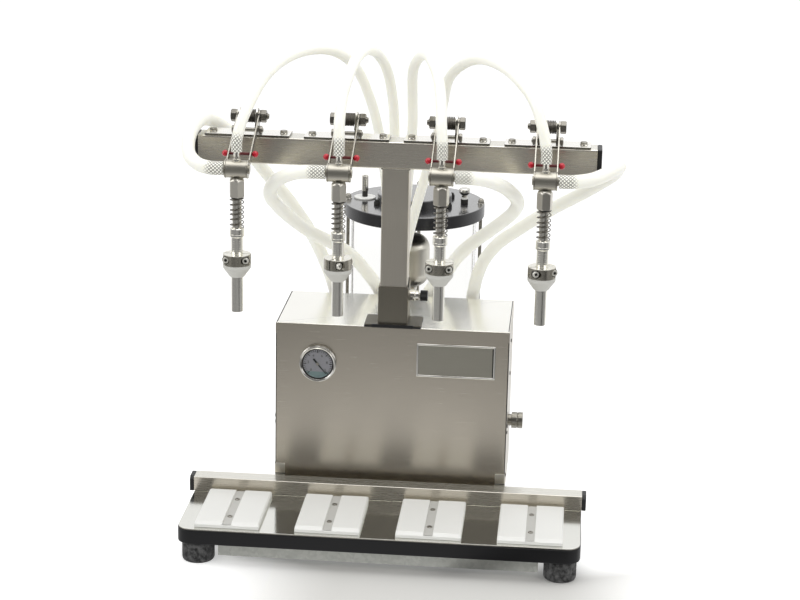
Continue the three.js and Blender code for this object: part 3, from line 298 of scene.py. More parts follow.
def frames(path, hint=None):
    """Two unit vectors square to the path at each point, the first square to a hint as well.

    Without a hint the direction in which the path spreads least is taken.
    """
    along = unit(np.gradient(path, axis=0))
    if hint is None:
        hint = np.linalg.svd(path - path.mean(axis=0), full_matrices=False)[2][2]
    side = unit(np.cross(along, hint))
    return side, np.cross(along, side)


def wire(path, radius, sides=12, hint=None):
    """A round section carried along a path with flat ends."""
    side, other = frames(path, hint)
    angle = full_turn(sides)[None, :, None]
    ring = np.cos(angle) * side[:, None] + np.sin(angle) * other[:, None]
    return grid(path[:, None] + radius * ring)


def hexagon(inner, angle, turn=math.pi / 6):
    """The radius at each angle of a hexagon with that inner radius."""
    return inner / np.cos(np.mod(angle + turn, np.pi / 3) - np.pi / 6)


def nut(across, low, high, chamfer=1.5):
    """A hexagon about Z whose corners are cut by a cone at each end: r = min(flat(a), cone(h))."""
    angle = full_turn(60)
    flat, corner = across / 2, across / 2 / math.cos(math.pi / 6)
    limit = np.array([flat * 0.98, (corner + flat) / 2, corner])
    height = [low, low + chamfer / 2, low + chamfer, high - chamfer, high - chamfer / 2, high]
    return polar(np.minimum(hexagon(flat, angle), np.append(limit, limit[::-1])[:, None]), angle, height)


def washer(low):
    """A washer 1 mm thick about Z, under a nut of about 10 mm across."""
    return drum(6.2, low, low + 1, 0.2, 36)


def acorn_nut(radius, top, bottom):
    """A hexagon nut under a low cone, r = min(hexagon(a + 15 degrees), cone(h)), stepped at its lower rim."""
    angle = full_turn(72)
    flat = hexagon(radius * 0.92, angle, math.radians(15))
    levels = np.array([
        [bottom, 0.96], [bottom + 0.8, 1.02], [bottom + 1.8, 1.07], [top - 5.4, 1.07], [top - 4, 1.0],
        [top - 2.4, 0.9], [top - 1, 0.78], [top, 0.66],
    ])
    return polar(np.minimum(flat, radius * levels[:, 1:]), angle, levels[:, 0])


def screw(radius, proud, socket):
    """A cap screw's head about Z, from 0 to proud, with a hexagon socket sunk into its crown."""
    angle = full_turn(36)
    hole = hexagon(socket, angle)
    circle = np.ones_like(angle)
    radii = [radius * circle, radius * circle, radius * 0.88 * circle, hole * 1.04, hole, hole]
    return polar(np.array(radii), angle, [-0.3, proud * 0.8, proud, proud, proud - 0.2, proud * 0.35])


def ball(radius):
    """A sphere about the origin, its two poles closed by small flats."""
    t = np.linspace(0.06, np.pi - 0.06, 12)
    return turned(np.stack([radius * np.sin(t), -radius * np.cos(t)], axis=1), 24)


def moved(surface, x=0.0, y=0.0, z=0.0):
    return surface[0] + np.array([x, y, z], float), surface[1]


def along_x(surface):
    """Turns a form about Z so that its axis runs along +X."""
    return surface[0][:, [2, 0, 1]], surface[1]


def along_y(surface):
    """Turns a form about Z so that its axis runs along +Y."""
    return surface[0][:, [1, 2, 0]], surface[1]


def facing_front(surface):
    """Turns a form about Z so that its top faces -Y and its own Y stays up."""
    x, y, z = surface[0].T
    return np.stack([x, -z, y], axis=1), surface[1]


def flipped_x(surface):
    """The mirror image across X = 0, with its faces turned round again."""
    return surface[0] * np.array([-1.0, 1.0, 1.0]), [face[::-1] for face in surface[1]]


def turned_about_z(surface, angle):
    c, s = math.cos(angle), math.sin(angle)
    return surface[0] @ np.array([[c, s, 0], [-s, c, 0], [0, 0, 1]]), surface[1]


class Parts(list):
    """The surfaces of one piece, each with its finish."""

    def add(self, finish, surface, x=0.0, y=0.0, z=0.0):
        self.append((moved(surface, x, y, z), FINISH[finish]))
        return self

    def each(self, change, *more):
        """The same parts with change(surface, ...) in place of each surface."""
        return Parts((change(surface, *more), finish) for surface, finish in self)


def mesh_object(name, mesh):
    made = bpy.data.objects.new(name, mesh)
    bpy.context.scene.collection.objects.link(made)
    return made


def mesh_of(name, points, faces):
    """A mesh in metres from points in millimetres, with every face pointing outwards."""
    mesh = bpy.data.meshes.new(name)
    mesh.from_pydata((points * MM).tolist(), [], faces)
    shell = bmesh.new()
    shell.from_mesh(mesh)
    bmesh.ops.recalc_face_normals(shell, faces=shell.faces)
    shell.to_mesh(mesh)
    shell.free()
    return mesh


def make_piece(name, body, parts, node, at=(0.0, 0.0, 0.0), sharp=32.0, bevel=0.0):
    """One object from its parts, standing for a node and riding on a body, with its edges kept sharp.

    The weighted normals let a large flat face stay flat up to its rounded rim.
    """
    faces, finishes, offset = [], [], 0
    materials = list(dict.fromkeys(material for surface, material in parts))
    for surface, material in parts:
        faces += [tuple(index + offset for index in face) for face in surface[1]]
        finishes += [materials.index(material)] * len(surface[1])
        offset += len(surface[0])
    mesh = mesh_of(name, np.concatenate([surface[0] for surface, material in parts]) + np.array(at), faces)
    for material in materials:
        mesh.materials.append(material)
    mesh.polygons.foreach_set("material_index", finishes)
    mesh.shade_smooth()
    mesh.set_sharp_from_angle(angle=math.radians(sharp))
    piece = mesh_object(name, mesh)
    if bevel:
        soft = piece.modifiers.new("soft_edges", "BEVEL")
        soft.width = bevel * MM
        soft.segments = 2
        soft.limit_method = "ANGLE"
        soft.angle_limit = math.radians(30)
    piece.modifiers.new("weighted_normals", "WEIGHTED_NORMAL").keep_sharp = True
    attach(piece, body)
    if node:
        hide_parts(node)
    return piece


# Materials


class Nodes:
    """Adds nodes to a tree. add returns the new node, the other methods its output or outputs."""

    def __init__(self, tree):
        self.tree = tree

    def add(self, kind, inputs, **settings):
        """One node with its settings, and a value or a link for each named input."""
        made = self.tree.nodes.new(kind)
        for key, value in settings.items():
            setattr(made, key, value)
        for key, value in inputs.items():
            if isinstance(value, bpy.types.NodeSocket):
                self.tree.links.new(value, made.inputs[key])
            else:
                made.inputs[key].default_value = value
        return made

    def maths(self, operation, *values):
        return self.add("ShaderNodeMath", dict(enumerate(values)), operation=operation).outputs[0]

    def remap(self, value, low, high, start=0.0, end=1.0, kind="LINEAR"):
        """Carries the range from start to end over to the range from low to high."""
        ranges = {"Value": value, "From Min": start, "From Max": end, "To Min": low, "To Max": high}
        return self.add("ShaderNodeMapRange", ranges, interpolation_type=kind).outputs[0]

    def smooth_step(self, value, start, end):
        """Rises smoothly from 0 at start to 1 at end."""
        return self.remap(value, 0.0, 1.0, start, end, "SMOOTHSTEP")

    def scaled(self, vector, factor):
        return self.add("ShaderNodeVectorMath", {0: vector, "Scale": factor}, operation="SCALE").outputs[0]

    def mix(self, share, first, second):
        return self.add("ShaderNodeMix", {0: share, 6: first, 7: second}, data_type="RGBA").outputs[2]

    def split(self, vector):
        return self.add("ShaderNodeSeparateXYZ", {"Vector": vector}).outputs


class Finish(Nodes):
    """A new material: its Principled shader, and nodes that read the coordinates of its piece."""

    def __init__(self, name, **inputs):
        old = bpy.data.materials.get(name)
        if old:
            bpy.data.materials.remove(old)
        self.material = bpy.data.materials.new(name)
        self.material.use_nodes = True
        super().__init__(self.material.node_tree)
        self.shader = self.tree.nodes["Principled BSDF"]
        for key, value in inputs.items():
            self.shader.inputs[key.replace("_", " ")].default_value = value
        self.coords = self.add("ShaderNodeTexCoord", {}).outputs

    def noise(self, scale, detail=2.0, **more):
        inputs = {"Vector": self.coords["Object"], "Scale": scale, "Detail": detail, **more}
        return self.add("ShaderNodeTexNoise", inputs).outputs[0]

    def grained(self, grain, width, stretch):
        """Noise of that width in metres, drawn out along one axis: stretch is its length over its width."""
        scale = [1 / width / (stretch if axis == grain else 1) for axis in "xyz"]
        mapping = self.add("ShaderNodeMapping", {"Vector": self.coords["Object"], "Scale": scale})
        return self.noise(1.0, 3.0, Vector=mapping.outputs[0])

    def bump(self, height, strength, distance=0.2 * MM):
        inputs = {"Height": height, "Strength": strength, "Distance": distance}
        return self.add("ShaderNodeBump", inputs).outputs[0]

    def finish(self, **links):
        """Links each output to the shader's input of that name and gives the material."""
        for key, output in links.items():
            self.tree.links.new(output, self.shader.inputs[key.replace("_", " ")])
        return self.material


def rgba(value):
    """A colour with its alpha, from linear values or an sRGB hex value."""
    return (*(linear(value) if isinstance(value, str) else value), 1.0)


def brushed_stainless(name, grain, upright, level, roughness, turnover=(0.45, 0.95)):
    """Brushed 304 stainless. The belt leaves fine lines along the grain, which smear reflections across it.

    The base colour holds a painted reflection: upright faces get a darker colour for the darker room that
    they would mirror, and level ones a paler colour for the pale sky of the studio. turnover gives the height
    of the normal at which the upright colour starts to give way and where the level one is full.
    """
    made = Finish(name, Metallic=1.0, Anisotropic=0.7)
    lines = made.grained(grain, 0.5 * MM, 90)
    cloud = made.noise(7.0)
    size = made.maths("ABSOLUTE", made.split(made.coords["Normal"])["Z"])
    # Painted reflection: the darker upright colour gives way to the paler level one as the normal turns up
    base = made.mix(made.smooth_step(size, *turnover), rgba(upright), rgba(level))
    both = made.maths("MULTIPLY", made.remap(lines, 0.92, 1.08), made.remap(cloud, 0.93, 1.07))
    tint = made.scaled(base, both)
    rough = made.remap(lines, roughness - 0.05, roughness + 0.07)
    bump = made.bump(lines, 0.08)
    along = [float(axis == grain) for axis in "xyz"]
    across = made.add("ShaderNodeVectorMath", {0: made.coords["Normal"], 1: along}, operation="CROSS_PRODUCT")
    return made.finish(Base_Color=tint, Roughness=rough, Normal=bump, Tangent=across.outputs[0])


def machined_steel(name, grain, base, roughness):
    """Turned stainless: fine tool rings, so that highlights run as soft bands along the part."""
    made = Finish(name, Metallic=1.0)
    rings = made.grained(grain, 2.4 * MM, 0.2)
    tint = made.scaled(rgba(base)[:3], made.remap(rings, 0.9, 1.08))
    return made.finish(Base_Color=tint, Roughness=made.remap(rings, roughness - 0.05, roughness + 0.07))


def moulded(name, base, roughness, grit=0.6, spread=0.06, **inputs):
    """Moulded or milled plastic: an even colour with a faint grit, in mm, that breaks the gloss."""
    made = Finish(name, **inputs)
    grains = made.noise(1 / (grit * MM), 3.0)
    tint = made.scaled(rgba(base)[:3], made.remap(made.noise(24.0), 1 - spread, 1 + spread))
    rough = made.remap(grains, roughness - 0.08, roughness + 0.08)
    return made.finish(Base_Color=tint, Roughness=rough, Normal=made.bump(grains, 0.05))


def black_lid(name, base):
    """Milled black PVC: polished level faces mirror the pale studio, and the rim stays dull and dark."""
    made = Finish(name, Base_Color=rgba(base), Coat_Roughness=0.12)
    gloss = made.remap(made.split(made.coords["Normal"])["Z"], 0.0, 1.0, 0.3, 0.9)
    rough = made.remap(made.noise(60.0, 3.0), 0.16, 0.3)
    shine = made.remap(gloss, 0.45, 0.9)
    return made.finish(Coat_Weight=gloss, Specular_IOR_Level=shine, Roughness=rough)


def speckled_rubber(name, base):
    """Rubber foot cast from recycled crumb: pale and black lumps 5 to 8 mm across, with a rough skin."""
    made = Finish(name, Roughness=0.75)
    lumps = made.noise(1 / (7 * MM), 3.0, Roughness=0.55)
    tint = made.scaled(rgba(base)[:3], made.remap(lumps, 0.15, 3.4, 0.36, 0.66))
    return made.finish(Base_Color=tint, Normal=made.bump(lumps, 0.3, 0.6 * MM))


def spangled_zinc(name, base):
    """Hot-dip zinc: dull crystals about 5 mm across, each a little lighter or darker."""
    made = Finish(name, Metallic=0.8)
    crystals = {"Vector": made.coords["Object"], "Scale": 1 / (5 * MM)}
    spangle = made.add("ShaderNodeTexVoronoi", crystals).outputs["Color"]
    grey = made.add("ShaderNodeSeparateColor", {"Color": spangle}).outputs
    tint = made.scaled(rgba(base)[:3], made.remap(grey[0], 0.9, 1.06))
    return made.finish(Base_Color=tint, Roughness=made.remap(grey[1], 0.42, 0.55))


def silicone_hose(name, base, braid):
    """Milky silicone: light from behind makes it glow, a faint painted glow (an emission in its own colour)
    is added, and a polyester braid shows at the fittings.

    The UV map holds metres round the hose in U and metres from its fitting in V. The braid is drawn where
    either of two sine waves that cross is near zero. Its lines are 5.2 mm apart, over twice the real braid,
    so that they still show in a picture 800 pixels wide.
    """
    # Emission_Strength 0.12 in the hose's own colour is a painted glow
    made = Finish(
        name, Roughness=0.32, Subsurface_Scale=0.006, Subsurface_Radius=(1.0, 0.97, 0.85),
        IOR=1.41, Coat_Weight=0.2, Emission_Strength=0.12,
    )
    place = made.split(made.coords["UV"])
    turn = math.pi / (5.2 * MM)
    waves = []
    for slope in (1, -1):
        tilt = made.maths("MULTIPLY", place["X"], slope * turn)
        phase = made.maths("MULTIPLY_ADD", place["Y"], turn, tilt)
        waves.append(made.maths("ABSOLUTE", made.maths("SINE", phase)))
    weave = made.remap(made.maths("MINIMUM", *waves), 0.0, 1.0, 0.55, 0.3)
    near = made.remap(place["Y"], 0.85, 0.0, braid * 0.75, braid * 1.15)
    mask = made.maths("MULTIPLY", weave, near)
    warm = made.mix(made.noise(14.0), rgba(base), rgba([v * 0.95 for v in base]))
    tint = made.mix(mask, warm, rgba("#3A372F"))
    deep = made.remap(near, 0.7, 0.0)
    return made.finish(Base_Color=tint, Emission_Color=tint, Subsurface_Weight=deep)


def clear_cylinder(name):
    """Clear acrylic: thin, colourless and smooth, so that only its rims and faint smears show."""
    made = Finish(name, Roughness=0.02, IOR=1.12, Base_Color=rgba("#FFFFFE"), Transmission_Weight=1.0)
    made.material.use_raytrace_refraction = True
    return made.finish(Roughness=made.remap(made.noise(9.0, 4.0), 0.01, 0.05))


FINISH = {}


def make_finishes():
    """Every finish on the machine, by the name that the pieces use."""
    c = colours()
    upright, level = c.steel_upright, c.steel_level
    # Each brushed finish below gives an upright and a level colour; their difference is a painted reflection,
    # darker on upright faces and paler on level ones
    for key, *look in (
        ("front", "brushed_stainless_panel", "x", upright, level, 0.24),
        ("skin", "brushed_stainless_skin", "x", upright, "#FDFCF6", 0.22),
        ("beam", "brushed_stainless_beam", "x", "#CFC9BD", level, 0.27),
        ("column", "brushed_stainless_column", "z", "#D6D0C4", level, 0.34),
        ("socket", "dull_stainless_socket", "z", "#8E897D", "#7E7A70", 0.4),
        ("fence", "polished_stainless_bar", "x", "#D4CDC0", level, 0.26),
        ("wing", "dull_stainless_flange", "x", "#6E6A60", "#77746D", 0.4),
        ("tab", "bare_stainless_tab", "x", "#E6E3DA", level, 0.3),
        ("strap", "sheared_stainless_strap", "x", "#6F6C64", "#FAF8F2", 0.18),
        ("field", "satin_stainless_field", "x", "#A8A59A", level, 0.42),
        ("sheet", "bright_stainless_sheet", "x", "#8E8B83", "#E4E4DE", 0.1),
        ("arm", "satin_stainless_arm", "y", "#A09C92", "#BDB9AF", 0.26),
        ("nut", "satin_stainless_nut", "x", "#D0CCC2", "#D8D6CE", 0.3),
        ("collar", "satin_stainless_collar", "x", "#A5A196", "#F2F0E8", 0.26),
        # The float's level colour is darker than its upright one: a painted reflection of the black lid above
        # it
        ("float", "drawn_stainless_float", "z", "#D2CFC6", "#8A877F", 0.3, (0.1, 0.7)),
    ):
        FINISH[key] = brushed_stainless(*look)
    for key, *look in (
        ("machined", "machined_stainless", "z", c.machined, 0.2),
        ("tube", "turned_stainless_tube", "z", "#F2F0E8", 0.22),
        ("block", "turned_stainless_block", "x", "#B4B0A5", 0.36),
        ("pivot", "dark_plated_pivot", "x", "#7C7972", 0.22),
        ("bright", "polished_stainless", "z", "#DAD8D2", 0.12),
        ("bolt", "plated_bolt", "z", "#9A978F", 0.3),
        ("wire", "drawn_spring_wire", "z", "#6A665F", 0.3),
    ):
        FINISH[key] = machined_steel(*look)
    for key, *look in (
        ("black", "black_polyethylene_cap", c.board, 0.42),
        # The gap finish is dark print, dark parts and joints, and also painted shade in recesses and under
        # parts
        ("gap", "dark_print_parts_and_painted_shade", "#242321", 0.7),
        ("pad", "milled_white_acetal", c.pad, 0.42, 0.8, 0.02),
        ("cone", "turned_white_acetal", "#CFCEC8", 0.42, 0.8, 0.02),
        ("groove", "darker_groove_acetal", "#C9C8C3", 0.5, 0.8, 0.04),
        ("pin_rod", "dark_red_rod", "#5E1418", 0.3),
        ("dial", "printed_dial", c.dial, 0.5, 0.6, 0.03),
        ("label", "printed_dial_segment", "#6F8384", 0.5, 0.6, 0.08),
    ):
        FINISH[key] = moulded(*look)
    FINISH["head"] = moulded("plated_screw_head", "#DEDCD4", 0.35, Metallic=0.5)
    FINISH["cast"] = moulded("cast_aluminium", "#8F9294", 0.5, 1.5, Metallic=0.9)
    FINISH["board"] = moulded("black_phenolic_board", c.board, 0.42, 1.2, Specular_IOR_Level=0.3)
    FINISH["pin"] = moulded("red_nylon", c.pin, 0.28, Coat_Weight=0.3)
    FINISH["zinc"] = spangled_zinc("hot_dip_zinc", c.zinc)
    FINISH["lid"] = black_lid("milled_black_pvc", c.lid)
    FINISH["foot"] = speckled_rubber("cast_rubber_foot", c.foot)
    FINISH["lens"] = clear_cylinder("gauge_lens_glass")
    FINISH["glass"] = clear_cylinder("clear_vessel_acrylic")
    FINISH["hose"] = silicone_hose("milky_silicone_hose", c.hose, sizes().braid_length * MM)


# Base: board, bright sheet, rails, feet


def tee_outline(inset):
    """The T of the board seen from above, anticlockwise, drawn in by inset."""
    half = BASE_HIGH[0] - inset
    tongue = 150 - inset
    front, rear = BASE_LOW[1] + inset, BASE_HIGH[1] - inset
    wing = BASE_LOW[1] + 215 - inset
    corner = 24 - inset
    small = 0.8
    points = [[-half, front], [half, front], [half, wing], [tongue, wing], [tongue, rear], [-tongue, rear],
              [-tongue, wing], [-half, wing]]
    radii = [corner, corner, corner, small, corner, corner, small, corner]
    return rounded(points, radii, 8)


def make_base():
    board = slab(tee_outline(0), BASE_LOW[2], BASE_HIGH[2], sizes().board_edge)
    make_piece("board", "machine", Parts().add("board", board), "base_board")
    low, high = corners("top_sheet")
    sheet = slab(tee_outline(1), low[2], high[2], 0.5)
    make_piece("bright_tray", "machine", Parts().add("sheet", sheet), "top_sheet")
    for i in HEADS:
        low, high = corners(f"foot_{i}")
        radius, top = (high[0] - low[0]) / 2, high[2]
        foot = lathe([
            [radius - 6, 0], [radius - 1.5, 0], [radius, 3], [radius, top - 3], [radius - 2, top],
            [radius - 6, top],
        ], 1.2, 64, closed=False)
        parts = Parts().add("foot", foot)
        make_piece(f"round_foot_{i}", "machine", parts, f"foot_{i}",
                   (*centre(f"foot_{i}")[:2], 0))
    for name, finish in (("under_frame", "zinc"), ("vacuum_pump", "cast")):
        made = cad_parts[name].data.materials
        made.clear()
        made.append(FINISH[finish])


# Bottle stations: pads, fence and caps

GROOVE_DEPTH = 2.5


def pad_form(width, depth, thickness, bevel, groove):
    """A milled pad: h(x, y) is the thickness, less the groove, the side bevels and the long front slope."""
    half = width / 2
    side = 2
    wall = groove / 2 + 0.3
    xs = np.array([-half, side - half, -wall, -groove / 2, groove / 2, wall, half - side, half])
    ys = np.array([0, bevel * 0.98, bevel * 1.06, depth - side, depth])
    across = thickness - np.array([side, 0, 0, GROOVE_DEPTH, GROOVE_DEPTH, 0, 0, side])
    along = thickness - np.array([bevel / 2, 0.1, 0, 0, side])
    return relief(xs, ys, np.minimum(across[None, :], along[:, None]), 0)


def make_stations():
    s = sizes()
    for i in HEADS:
        low, high = corners(f"bottle_pad_{i}")
        width, depth, thickness = high - low
        bottom = thickness - GROOVE_DEPTH
        parts = Parts().add("pad", pad_form(width, depth, thickness, s.pad_bevel, s.pad_groove))
        # A thin sheet of a darker white lies on the groove's floor
        floor_of_groove = plate(s.pad_groove - 0.2, depth - 1.5, 0.2, 0, 0.12, 0.02)
        parts.add("groove", floor_of_groove, 0, depth / 2 + 0.5, bottom)
        for share in (0.24, 0.74):
            parts.add("bolt", screw(3.6, 1.6, 1.5), 0, share * depth, bottom)
        place = (low[0] + width / 2, low[1], low[2])
        make_piece(f"milled_pad_{i}", "machine", parts, f"bottle_pad_{i}", place, 24, 0.35)

    low, high = corners("fence_bar")
    end = high[0]
    bar = along_x(plate(high[1] - low[1], high[2] - low[2], 1.2, low[0], end, 0.2, 3))
    make_piece("fence", "machine", Parts().add("fence", bar), "fence_bar",
               (0, *centre("fence_bar")[1:]))
    for side, name in ((-1, "fence_cap_left"), (1, "fence_cap_right")):
        low, high = corners(name)
        y, z = (high - low)[1:] / 2
        cut = 5
        outline = [[-y, -z], [y, -z], [y, z - cut], [y - cut, z], [cut - y, z], [-y, z - cut]]
        outer = high[0] if side > 0 else low[0]
        cap = along_x(slab(rounded(outline, 0.8, 3), *sorted([outer, side * end]), 1.0))
        make_piece(f"end_{name}", "machine", Parts().add("black", cap), name,
                   (0, *centre(name)[1:]))


# Housing: folded box, front panel, tabs, bare plate, side screws

FRONT = BOX_LOW[1] + 1.2


def front_plate(*plate_sizes):
    return facing_front(plate(*plate_sizes))


def make_housing():
    """A folded box, a dark joint, the front panel on it, corner tabs, side screws and the bare plate."""
    s = sizes()
    width, deep, tall = BOX_HIGH[0] - BOX_LOW[0], BOX_HIGH[1] - FRONT, BOX_HIGH[2] - BOX_LOW[2]
    skin = 1.5
    parts = Parts()
    parts.add("skin", plate(width, deep - skin, s.sheet_edge, 0, tall, s.sheet_edge), 0, (deep + skin) / 2)
    # A dark sheet under the panel shows in its side joints: painted shade in them
    parts.add("gap", front_plate(width - 0.6, tall - 18, 0.4, 0, 0.9, 0.1), 0, skin, tall / 2 - 8)
    panel = front_plate(width - 2 * s.panel_gap, tall - 1.2, 1.5, -0.4, skin, 0.5)
    parts.add("front", panel, 0, skin, tall / 2 - 0.6)
    parts.add("front", front_plate(width, 16, 0.8, -0.4, skin - 0.1, 0.4), 0, skin, tall - 8.5)
    for side in (-1, 1):
        x = side * (width / 2 - 7.5)
        parts.add("tab", front_plate(15, 15.5, 0.8, 0, 1.2, 0.3), x, 0, 26.2)
        parts.add("field", front_plate(14.4, 16.5, 0.8, 0, 0.9, 0.3), x, 0, 8.4)
        parts.add("gap", front_plate(15, 1.8, 0.3, 0, 0.4, 0.05), x, 0, 17.5)
        seam = plate(1.2, deep - 6, 0.2, -0.6, 0.5, 0.2)
        parts.add("gap", seam, side * (width / 2 - 1.9), deep / 2, tall)
    for back, height in ((64, 226), (64, 174), (9, 108), (9, 98), (9, 30)):
        head = along_x(screw(2.6, 1.2, 1.1))
        parts.add("gap", head, width / 2, back, height)
        parts.add("gap", flipped_x(head), -width / 2, back, height)
    parts += plate_form(118, 52, s.plate_frame).each(facing_front).each(moved, 96, -0.05, tall - 49)
    make_piece("folded_housing", "machine", parts, "housing", (0, FRONT, BOX_LOW[2]))


def plate_form(width, height, rim):
    """The bare plate: a half-round bright frame, z = 1.3 mm sin t over its width, round a satin field."""
    outer = rectangle(width, height, 1.6, 3)
    inner = rectangle(width - 2 * rim, height - 2 * rim, 0.6, 3)
    shares = (1 - np.cos(np.linspace(0, np.pi, 9))) / 2
    rings = [level(outer * (1 - share) + inner * share, 0.15 + 1.3 * math.sqrt(4 * share * (1 - share)))
             for share in shares]
    parts = Parts().add("bright", grid(np.stack([level(outer, 0), *rings, level(inner, 0)])))
    parts.add("field", slab(inner * 0.999, 0, 0.35, 0.05))
    # The dark strip inside the frame's right side is painted shade beside the raised frame
    return parts.add("gap", plate(1.6, height - 2 * rim - 0.6, 0.3, 0, 0.5, 0.05), width / 2 - rim - 0.9)


def digits(text, size):
    """Plain numerals as a flat surface facing +Z, centred on the origin."""
    curve = bpy.data.curves.new("numeral", "FONT")
    curve.body = text
    curve.size = size * MM
    curve.align_x = "CENTER"
    curve.align_y = "CENTER"
    curve.resolution_u = 3
    holder = bpy.data.objects.new("numeral", curve)
    bpy.context.scene.collection.objects.link(holder)
    surface = surface_of(bpy.data.meshes.new_from_object(holder))
    bpy.data.objects.remove(holder)
    bpy.data.curves.remove(curve)
    return surface


def surface_of(mesh):
    """The surface of a mesh, which is then removed."""
    points = np.array([vertex.co[:] for vertex in mesh.vertices]) / MM
    faces = [list(face.vertices) for face in mesh.polygons]
    bpy.data.meshes.remove(mesh)
    return points, faces


DIAL_TICKS = 30


def dial_angle(share):
    """The angle of a share of the dial's scale, which runs clockwise over 270 degrees from the lower left."""
    return math.radians(225 - 270 * share)


def make_gauge():
    """The gauge: two chrome steps, a dark tapered well, a dial with ticks and numerals, a needle, a lens."""
    low, high = corners("gauge_case")
    radius = (high[0] - low[0]) / 2
    proud = FRONT - low[1]
    dial = radius - sizes().bezel
    needle_z = FRONT - corners("gauge_needle")[1][1]
    dial_z = needle_z - 0.6
    place = ((low[0] + high[0]) / 2, FRONT, (low[2] + high[2]) / 2)
    bezel = lathe([
        [radius - 2, 0], [radius - 0.6, 0], [radius, 0.6], [radius, proud * 0.5],
        [radius - 1.1, proud * 0.56], [radius - 1.1, proud * 0.66], [radius - 0.5, proud * 0.74],
        [radius - 0.9, proud * 0.96], [radius - 2, proud], [dial + 0.3, proud * 0.88],
        [dial + 0.2, proud * 0.3], [radius - 2, proud * 0.2],
    ], 0.3, 72)
    parts = Parts().add("bright", bezel).add("dial", drum(dial, dial_z - 0.8, dial_z, 0.1, 64))
    # The dark tapered well between bezel and dial is painted shade under the bezel
    parts.add("gap", turned([
        [dial + 0.25, dial_z - 0.5], [dial + 0.25, proud * 0.86], [dial - 0.1, proud * 0.86],
        [dial - 1.7, dial_z + 0.05], [dial - 1.7, dial_z - 0.5],
    ], 64, closed=True))
    segment = arc(dial - 1.8, math.radians(214), math.radians(326), 25)
    parts.add("label", slab(segment, dial_z - 0.1, dial_z + 0.06, 0.02))
    for step in range(DIAL_TICKS + 1):
        long, wide, reach = (4.6, 1.3, dial - 4.2) if step % 5 == 0 else (3.0, 0.7, dial - 3.4)
        tick = slab(rectangle(long, wide, 0.1, 1), dial_z - 0.1, dial_z + 0.14, 0.02, 1)
        parts.add("gap", turned_about_z(moved(tick, reach), dial_angle(step / DIAL_TICKS)))
    reach = dial - 9.6
    for step, text in enumerate(("0", "2", "4", "6", "8", "10")):
        parts.add("gap", digits(text, 5.6), *on_circle(reach, dial_angle(step / 5)), dial_z + 0.1)
    parts.add("bolt", drum(22, -24, 0.2, 1))
    make_piece("vacuum_gauge", "machine", parts.each(facing_front), "gauge_case", place)
    lens = facing_front(drum(dial - 0.2, proud * 0.7, proud * 0.8, 0.2, 64))
    make_piece("gauge_lens", "machine", Parts().add("lens", lens), None, place)

    outline = rounded([[-10, -1.3], [-1, -1.3], [0, -0.9], [20, -0.35], [20, 0.35], [0, 0.9], [-1, 1.3],
                       [-10, 1.3]], 0.25, 2)
    pointer = slab(outline, needle_z, needle_z + 0.6, 0.1)
    rest = math.pi / 2 - 2 * math.pi * 0.39
    parts = Parts().add("black", turned_about_z(pointer, rest))
    parts.add("bolt", drum(2.3, needle_z, needle_z + 1.1, 0.3, 32))
    make_piece("needle", "gauge_needle", parts.each(facing_front), "gauge_needle", place)


def make_side_port():
    """A bored fitting: a narrow stem at the wall, then a wide body with a joint line round it."""
    low, high = corners("side_port")
    radius, end = (high[2] - low[2]) / 2, high[0] - BOX_HIGH[0]
    joint = radius - 0.9
    port = lathe([
        [7, -9], [9, -9], [9, 5], [radius, 5], [radius, end * 0.6], [joint, end * 0.62], [joint, end * 0.66],
        [radius, end * 0.68], [radius, end], [8.5, end], [7, end - 1.5],
    ], 0.4, 64)
    parts = Parts().add("bolt", port).add("gap", drum(7.2, -6, -4, 0.3))
    make_piece("hose_port", "machine", parts.each(along_x), "side_port",
               (BOX_HIGH[0], *centre("side_port")[1:]))


# Column: socket, clamp, square column and beam

TUBE = 40


def square_tube(size, wall, edge, low, high, rim=0.4):
    """A square tube along Z: rings round its outside, over the rim and back down its inside."""
    outer = rectangle(size, size, edge, 5)
    inner = rectangle(size - 2 * wall, size - 2 * wall, max(edge - wall, 0.3), 5)
    rings = [level(outer, low), level(outer, high - rim), level(outer * (1 - rim / size), high),
             level(inner, high), level(inner, low)]
    return grid(np.stack(rings), closed=True)


